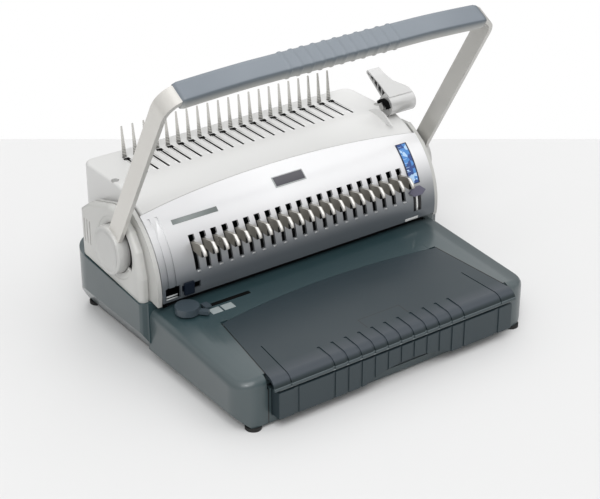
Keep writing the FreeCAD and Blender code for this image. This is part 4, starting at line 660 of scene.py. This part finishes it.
def make_pivot_hubs():
    """Thick round hubs over the strap's feet: dished outer face, rim and a plain side down to the recess."""
    profile = [(0.2088, 0.0075), (0.2088, 0.0160), (0.2026, 0.0162), (0.2026, 0.0272), (0.2034, 0.0278),
               (0.2162, 0.0280), (0.2174, 0.0276), (0.2179, 0.0266), (0.2179, 0.0238), (0.2174, 0.0232),
               (0.2168, 0.0226), (0.2165, 0.0170), (0.2165, 0.0002)]
    for side, word in ((-1, "left"), (1, "right")):
        piece = lathe_x("pivot_hub_" + word, [(side * x, r) for x, r in profile], MATERIALS["pivots"])
        soften(piece, 0.0002, 2, 50)
        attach(piece, "handle")
        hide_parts(word + "_pivot_cap")


def make_panel_trim():
    """Bare badge plate in its frame, label strip, window bars, painted highlights on the slot lips, a pointer
    rail between two strips of painted shade, and the lower bar.
    """
    # Name, span along X, angles from and to, lower and upper face beside the drum, material, softening
    plates = (("badge_frame", -0.0200, 0.0220, 46.5, 54.6, -0.0002, 0.0007, "print", 0.0003),
              ("badge_plate", -0.0187, 0.0207, 47.3, 53.9, 0.0, 0.0010, "badge", 0.0003),
              ("lower_bar", 0.1445, 0.1635, -6.0, -4.4, -0.0004, 0.0008, "edge", 0.0003),
              ("label_bar", -0.1580, -0.0998, 43.3, 46.8, -0.0002, 0.0003, "label_bar", 0.0),
              ("window_bar_0", -0.1845, -0.1705, -5.0, -4.1, -0.0014, -0.0004, "print", 0.0),
              ("window_bar_1", -0.1845, -0.1705, -3.0, -2.1, -0.0014, -0.0004, "print", 0.0))
    made = []
    for name, x0, x1, low, high, inner, outer, word, bevel in plates:
        piece = drum_patch(name, x0, x1, low, high, DRUM_R + inner, DRUM_R + outer, MATERIALS[word])
        made.append(soften(piece, bevel) if bevel else piece)
    # Painted highlight: a pale strip on the rounded lower lip of each slot
    for number, x in enumerate(RINGS):
        made.append(drum_patch("slot_lip_highlight_%d" % number, x - 0.0010, x + 0.0032, 8.6, 9.6, SEAT,
                               DRUM_R + 0.0006, MATERIALS["bright"], 3))
    # Painted shade: black strips on both sides of the bright pointer rail, where its slot lies in shade
    rail_and_shade_strips = ((0.1570, 0.1606, "black"), (0.1606, 0.1634, "edge"), (0.1634, 0.1684, "black"))
    for number, (x0, x1, word) in enumerate(rail_and_shade_strips):
        made.append(drum_patch("pointer_rail_and_shade_%d" % number, x0, x1, 0.0, 13.2, SEAT, DRUM_R + 0.0002,
                               MATERIALS[word], 5))
    for piece in made:
        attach(piece, "base")


def make_deck_labels():
    """Two bare label plates beside the edge guide's slot."""
    for number, (x0, x1) in enumerate(((-0.1465, -0.1335), (-0.1312, -0.1172))):
        piece = deck_patch("deck_label_%d" % number, x0, x1, -0.0395, -0.0290, 0.0003, MATERIALS["label"])
        soften(piece, 0.0001)
        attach(piece, "base")


def make_slot_details():
    """Thin raised rims beside the roof slots, a block of painted shade at the foot of each tine, and painted
    shade over the deck's guide slot.
    """
    rim_gap, rim_half, foot_half = 0.0030, 0.0004, 0.0036
    made = []
    for number, x in enumerate(RINGS):
        for side in (-1, 1):
            middle = x + side * rim_gap
            made.append(block("slot_rim_%d_%d" % (number, side + 1),
                              (middle - rim_half, 0.0960, ROOF_Z - 0.0002),
                              (middle + rim_half, 0.1370, ROOF_Z + 0.0004), MATERIALS["edge"]))
        # Painted shade: a black block at each tine's foot
        made.append(block("tine_foot_shade_%d" % number, (x - foot_half, 0.1345, ROOF_Z - 0.0004),
                          (x + foot_half, 0.1405, ROOF_Z + 0.0002), MATERIALS["shade"]))
    for piece in made:
        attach(piece, "base")
    # Painted shade: a dark film over the edge guide's slot
    slot = deck_patch("guide_slot_shade", -0.150, -0.088, -0.0252, -0.0198, 0.0002, MATERIALS["shade"])
    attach(slot, "base")


def make_lever_cradle():
    """Low tapered cheek on the roof with a black arc of painted shade over it, where the comb lever's left
    end is held.
    """
    def arc(x, y, z, radius, degrees):
        turns = [math.radians(t) for t in degrees]
        return [(x, y + radius * math.cos(t), z + radius * math.sin(t)) for t in turns]

    rings = []
    for x in (0.1636, 0.1694):
        outer = arc(x, 0.067, 0.1950, 0.0104, range(30, 171, 10))
        inner = arc(x, 0.0665, 0.1940, 0.0082, range(170, 29, -10))
        rings.append(outer + inner)
    # Painted shade: black arc for the shadowed gap at the lever's left end
    crescent = grid_object("lever_shade_crescent", rings, MATERIALS["shade"])
    shape = ((0.0430, 0.1790), (0.0430, 0.1800), (0.0580, 0.1900), (0.0620, 0.1915),
             (0.0740, 0.1915), (0.0790, 0.1900), (0.0950, 0.1830), (0.0950, 0.1790))
    rings = [[(x, y, z) for y, z in shape] for x in (0.1616, 0.1634)]
    foot = grid_object("lever_cheek", rings, MATERIALS["cover"])
    soften(foot, 0.0006, 2)
    for piece in (crescent, foot):
        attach(piece, "base")
        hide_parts("lever_bracket")


def make_recess_rings():
    """Painted shade in each round arm recess: a thin dark dished ring on the end cap."""
    floor = 0.2022
    profile = [(floor, 0.0155), (floor + 0.0004, 0.0157), (floor + 0.0004, 0.034), (floor + 0.0012, 0.0352),
               (floor, 0.0355)]
    for side, word in ((-1, "left"), (1, "right")):
        piece = lathe_x("recess_liner_" + word, [(side * x, r) for x, r in profile], MATERIALS["liner"])
        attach(piece, "base")


def make_recess_fills():
    """Flush filling of each arm recess behind and below the hub, an open ring.

    It runs from 118 to 358 degrees, counted from straight above by way of the front.
    """
    corners = ((0.2030, 0.0284), (0.2030, 0.0359), (0.20585, 0.0359), (0.2059, 0.0356), (0.2059, 0.0287),
               (0.2056, 0.0284))
    for side, word in ((-1, "left"), (1, "right")):
        rings = []
        for turn in np.radians(np.linspace(118, 358, 81)):
            ahead, high = -math.sin(turn), math.cos(turn)
            rings.append([(side * x, PIVOT_Y + r * ahead, PIVOT_Z + r * high) for x, r in corners])
        piece = grid_object("recess_fill_" + word, rings, MATERIALS["caps"])
        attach(piece, "base")


def make_deck_filler():
    """Deck strip between the tray's straight rear edge and the lid's bowed one, in millimetres:

    y(x) = -(46 + 13 (x / 148.5)^2).
    """
    back, thick, sink = -0.0446, 0.0018, 0.00002
    rings = []
    for x in np.linspace(-0.1398, 0.1398, 57):
        front = min(-(46 + 13 * (x * 1000 / 148.5) ** 2) * MM + 0.0005, back - 0.0004)
        fore, rear = deck_height(front) - sink, deck_height(back) - sink
        rings.append([(x, front, fore - thick), (x, back, rear - thick), (x, back, rear), (x, front, fore)])
    piece = grid_object("deck_filler", rings, MATERIALS["slate"])
    soften(piece, 0.0001)
    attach(piece, "base")


def make_lid_lip():
    """Pale lip along the lid's front edge."""
    half = 0.1575
    lip = block("lid_lip", (-half, LID_FRONT - 0.0026, 0.0472), (half, LID_FRONT, 0.0480), MATERIALS["lip"])
    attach(lip, "storage_lid")


def lever_line(points, y):
    """Height on a polyline of (y, z) corners."""
    return float(np.interp(y, [p[0] for p in points], [p[1] for p in points]))


def make_lever_pockets():
    """Painted shade inside the comb lever's pockets: thin black plates between the ribs, a hair above the
    pocket floor.

    Places are in millimetres from the lever's axis at y = 67 and z = 196.5.
    """
    low = ((9.1, 8.6), (37.5, 29.3))
    high = ((3.1, 14.9), (14.0, 21.4), (26.0, 27.1), (37.5, 30.6))
    first, last, rib = 3.2, 37.4, 1.0
    step = (39 - 2) / 5
    for number in range(5):
        y0, y1 = max(2 + step * number + rib, first), min(2 + step * (number + 1), last)
        shape = [(y, lever_line(low, y) if y > low[0][0] else max(8.8, 12.6 - y * 0.4)) for y in (y0, y1)]
        shape += [(y, lever_line(high, y)) for y in (y1, y0)]
        rings = [[(x, (67 + y) * MM, (196.5 + z) * MM) for y, z in shape] for x in (0.1725, 0.17385)]
        # Black plates of painted shade
        piece = grid_object("lever_pocket_shade_%d" % number, rings, MATERIALS["black"])
        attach(piece, "comb_lever")


def make_floor(paper):
    """Pale paper floor that ends in a straight edge behind the machine, square to the camera."""
    ahead = np.array([-math.sin(CAMERA_AZ), math.cos(CAMERA_AZ)])
    across = np.array([ahead[1], -ahead[0]])
    far, reach = np.array([0.289, 0.405]), 5    # middle of the far edge, and the floor's reach from it
    corners = [far + across * side - ahead * back
               for side, back in ((-reach, 0), (reach, 0), (reach, reach), (-reach, reach))]
    material, _, shader = tree_of("StudioPaper")
    shader.inputs["Base Color"].default_value = (paper, paper, paper, 1)
    shader.inputs["Roughness"].default_value = 0.9
    shader.inputs["Specular IOR Level"].default_value = 0.1
    floor = add_object("studio_floor", [(x, y, 0.0) for x, y in corners], [(3, 2, 1, 0)], material)


def make_world(ambient):
    """World that glows grey from below to white above, and shows plain white to the camera."""
    world = bpy.data.worlds.new("Studio")
    bpy.context.scene.world = world
    world.use_nodes = True
    tree = world.node_tree
    tree.nodes.clear()
    n, link = tree.nodes.new, tree.links.new
    out, pick, path = n("ShaderNodeOutputWorld"), n("ShaderNodeMixShader"), n("ShaderNodeLightPath")
    glow, white, fade = n("ShaderNodeBackground"), n("ShaderNodeBackground"), n("ShaderNodeValToRGB")
    coords, split = n("ShaderNodeTexCoord"), n("ShaderNodeSeparateXYZ")
    link(coords.outputs["Generated"], split.inputs[0])
    link(split.outputs["Z"], fade.inputs["Fac"])
    fade.color_ramp.elements[0].position = 0.0
    fade.color_ramp.elements[0].color = (0.32, 0.32, 0.32, 1)
    fade.color_ramp.elements[1].position = 0.5
    fade.color_ramp.elements[1].color = (1, 1, 1, 1)
    link(fade.outputs["Color"], glow.inputs["Color"])
    glow.inputs["Strength"].default_value = ambient
    white.inputs["Color"].default_value = (1, 1, 1, 1)
    white.inputs["Strength"].default_value = 1.0
    link(path.outputs["Is Camera Ray"], pick.inputs["Fac"])
    link(glow.outputs[0], pick.inputs[1])
    link(white.outputs[0], pick.inputs[2])
    link(pick.outputs[0], out.inputs["Surface"])


def make_suns(key):
    """Five suns that look at the machine's middle: name, place, strength and spread in degrees."""
    for name, place, energy, spread in (("KeySun", (-1.15, -1.45, 2.5), key, 50),
                                        ("RimSun", (1.4, 1.6, 2.2), 0.25, 40),
                                        ("TopSun", (0.3, -0.3, 2.8), 0.55, 70),
                                        ("FillSun", (1.9, -1.6, 1.5), 0.25, 60),
                                        ("SparkSun", (-1.3, -1.2, 2.0), 0.26, 9)):
        light = bpy.data.lights.new(name, "SUN")
        light.energy = energy
        light.angle = math.radians(spread)
        lamp = bpy.data.objects.new(name, light)
        bpy.context.scene.collection.objects.link(lamp)
        lamp.location = place
        aim = Vector((0, 0, 0.12)) - Vector(place)
        lamp.rotation_euler = aim.to_track_quat("-Z", "Y").to_euler()


def make_camera():
    """The photograph's camera, solved from the ring row, the feet, the pivot cap and the drum's ends."""
    camera = bpy.data.cameras.new("PhotoCamera")
    camera.sensor_width = 36
    camera.lens = 98.883
    camera.clip_end = 50
    eye = bpy.data.objects.new("PhotoCamera", camera)
    bpy.context.scene.collection.objects.link(eye)
    back = Vector((math.sin(CAMERA_AZ) * math.cos(CAMERA_EL), -math.cos(CAMERA_AZ) * math.cos(CAMERA_EL),
                   math.sin(CAMERA_EL)))
    eye.location = (-0.96915, -1.33947, 0.95845)
    eye.rotation_euler = back.to_track_quat("Z", "Y").to_euler()
    bpy.context.scene.camera = eye
    bpy.context.scene.view_settings.view_transform = "Standard"


class BinderSettings(bpy.types.PropertyGroup):
    """Choices for the machine's own pieces"""
    rings: IntProperty(name="Grip rings", default=11, min=0, max=15)
    detail: BoolProperty(name="Small details", default=True)


class StageSettings(bpy.types.PropertyGroup):
    """Choices for the light and the floor"""
    ambient: FloatProperty(name="Ambient light", default=0.62, min=0.0, max=3.0)
    key: FloatProperty(name="Key light", default=1.25, min=0.0, max=20)
    paper: FloatProperty(name="Paper shade", default=0.735, min=0.0, max=1.0)


class BINDER_OT_finishes(bpy.types.Operator):
    """Give every CAD node its detailed material"""
    bl_idname = "binder.finishes"
    bl_label = "Finishes"

    def execute(self, context):
        make_materials()
        dress_nodes()
        return {"FINISHED"}


class BINDER_OT_grip(bpy.types.Operator):
    """Make the soft handle grip and the hubs"""
    bl_idname = "binder.grip"
    bl_label = "Grip and hubs"

    def execute(self, context):
        make_grip(context.scene.binder)
        make_pivot_hubs()
        return {"FINISHED"}


class BINDER_OT_details(bpy.types.Operator):
    """Make the plates, labels, recess shade rings and fillings on the housing"""
    bl_idname = "binder.details"
    bl_label = "Housing details"

    def execute(self, context):
        if context.scene.binder.detail:
            for make in (make_panel_trim, make_deck_labels, make_recess_rings, make_recess_fills,
                         make_slot_details, make_lever_cradle, make_deck_filler, make_lid_lip,
                         make_lever_pockets):
                make()
        return {"FINISHED"}


class BINDER_OT_stage(bpy.types.Operator):
    """Set up floor, lights and camera"""
    bl_idname = "binder.stage"
    bl_label = "Stage"

    def execute(self, context):
        settings = context.scene.binder_stage
        make_floor(settings.paper)
        make_world(settings.ambient)
        make_suns(settings.key)
        make_camera()
        return {"FINISHED"}


class BINDER_PT_panel(bpy.types.Panel):
    """Sidebar panel with every step"""
    bl_label = "Comb binder"
    bl_idname = "BINDER_PT_panel"
    bl_space_type = "VIEW_3D"
    bl_region_type = "UI"
    bl_category = "Comb binder"

    def draw(self, context):
        layout = self.layout
        layout.prop(context.scene.binder, "rings")
        layout.prop(context.scene.binder, "detail")
        for word in ("ambient", "key", "paper"):
            layout.prop(context.scene.binder_stage, word)
        for name in ("finishes", "grip", "details", "stage"):
            layout.operator("binder." + name)


CLASSES = (BinderSettings, StageSettings, BINDER_OT_finishes, BINDER_OT_grip, BINDER_OT_details,
           BINDER_OT_stage, BINDER_PT_panel)


def register():
    """Register every class and the two groups of settings."""
    for item in CLASSES:
        bpy.utils.register_class(item)
    bpy.types.Scene.binder = PointerProperty(type=BinderSettings)
    bpy.types.Scene.binder_stage = PointerProperty(type=StageSettings)


def unregister():
    """Take back what register made."""
    del bpy.types.Scene.binder_stage
    del bpy.types.Scene.binder
    for item in reversed(CLASSES):
        bpy.utils.unregister_class(item)


def main():
    """Run every step."""
    register()
    bpy.ops.binder.finishes()
    bpy.ops.binder.grip()
    bpy.ops.binder.details()
    bpy.ops.binder.stage()
    bpy.context.view_layer.update()


if __name__ == "__main__":
    main()
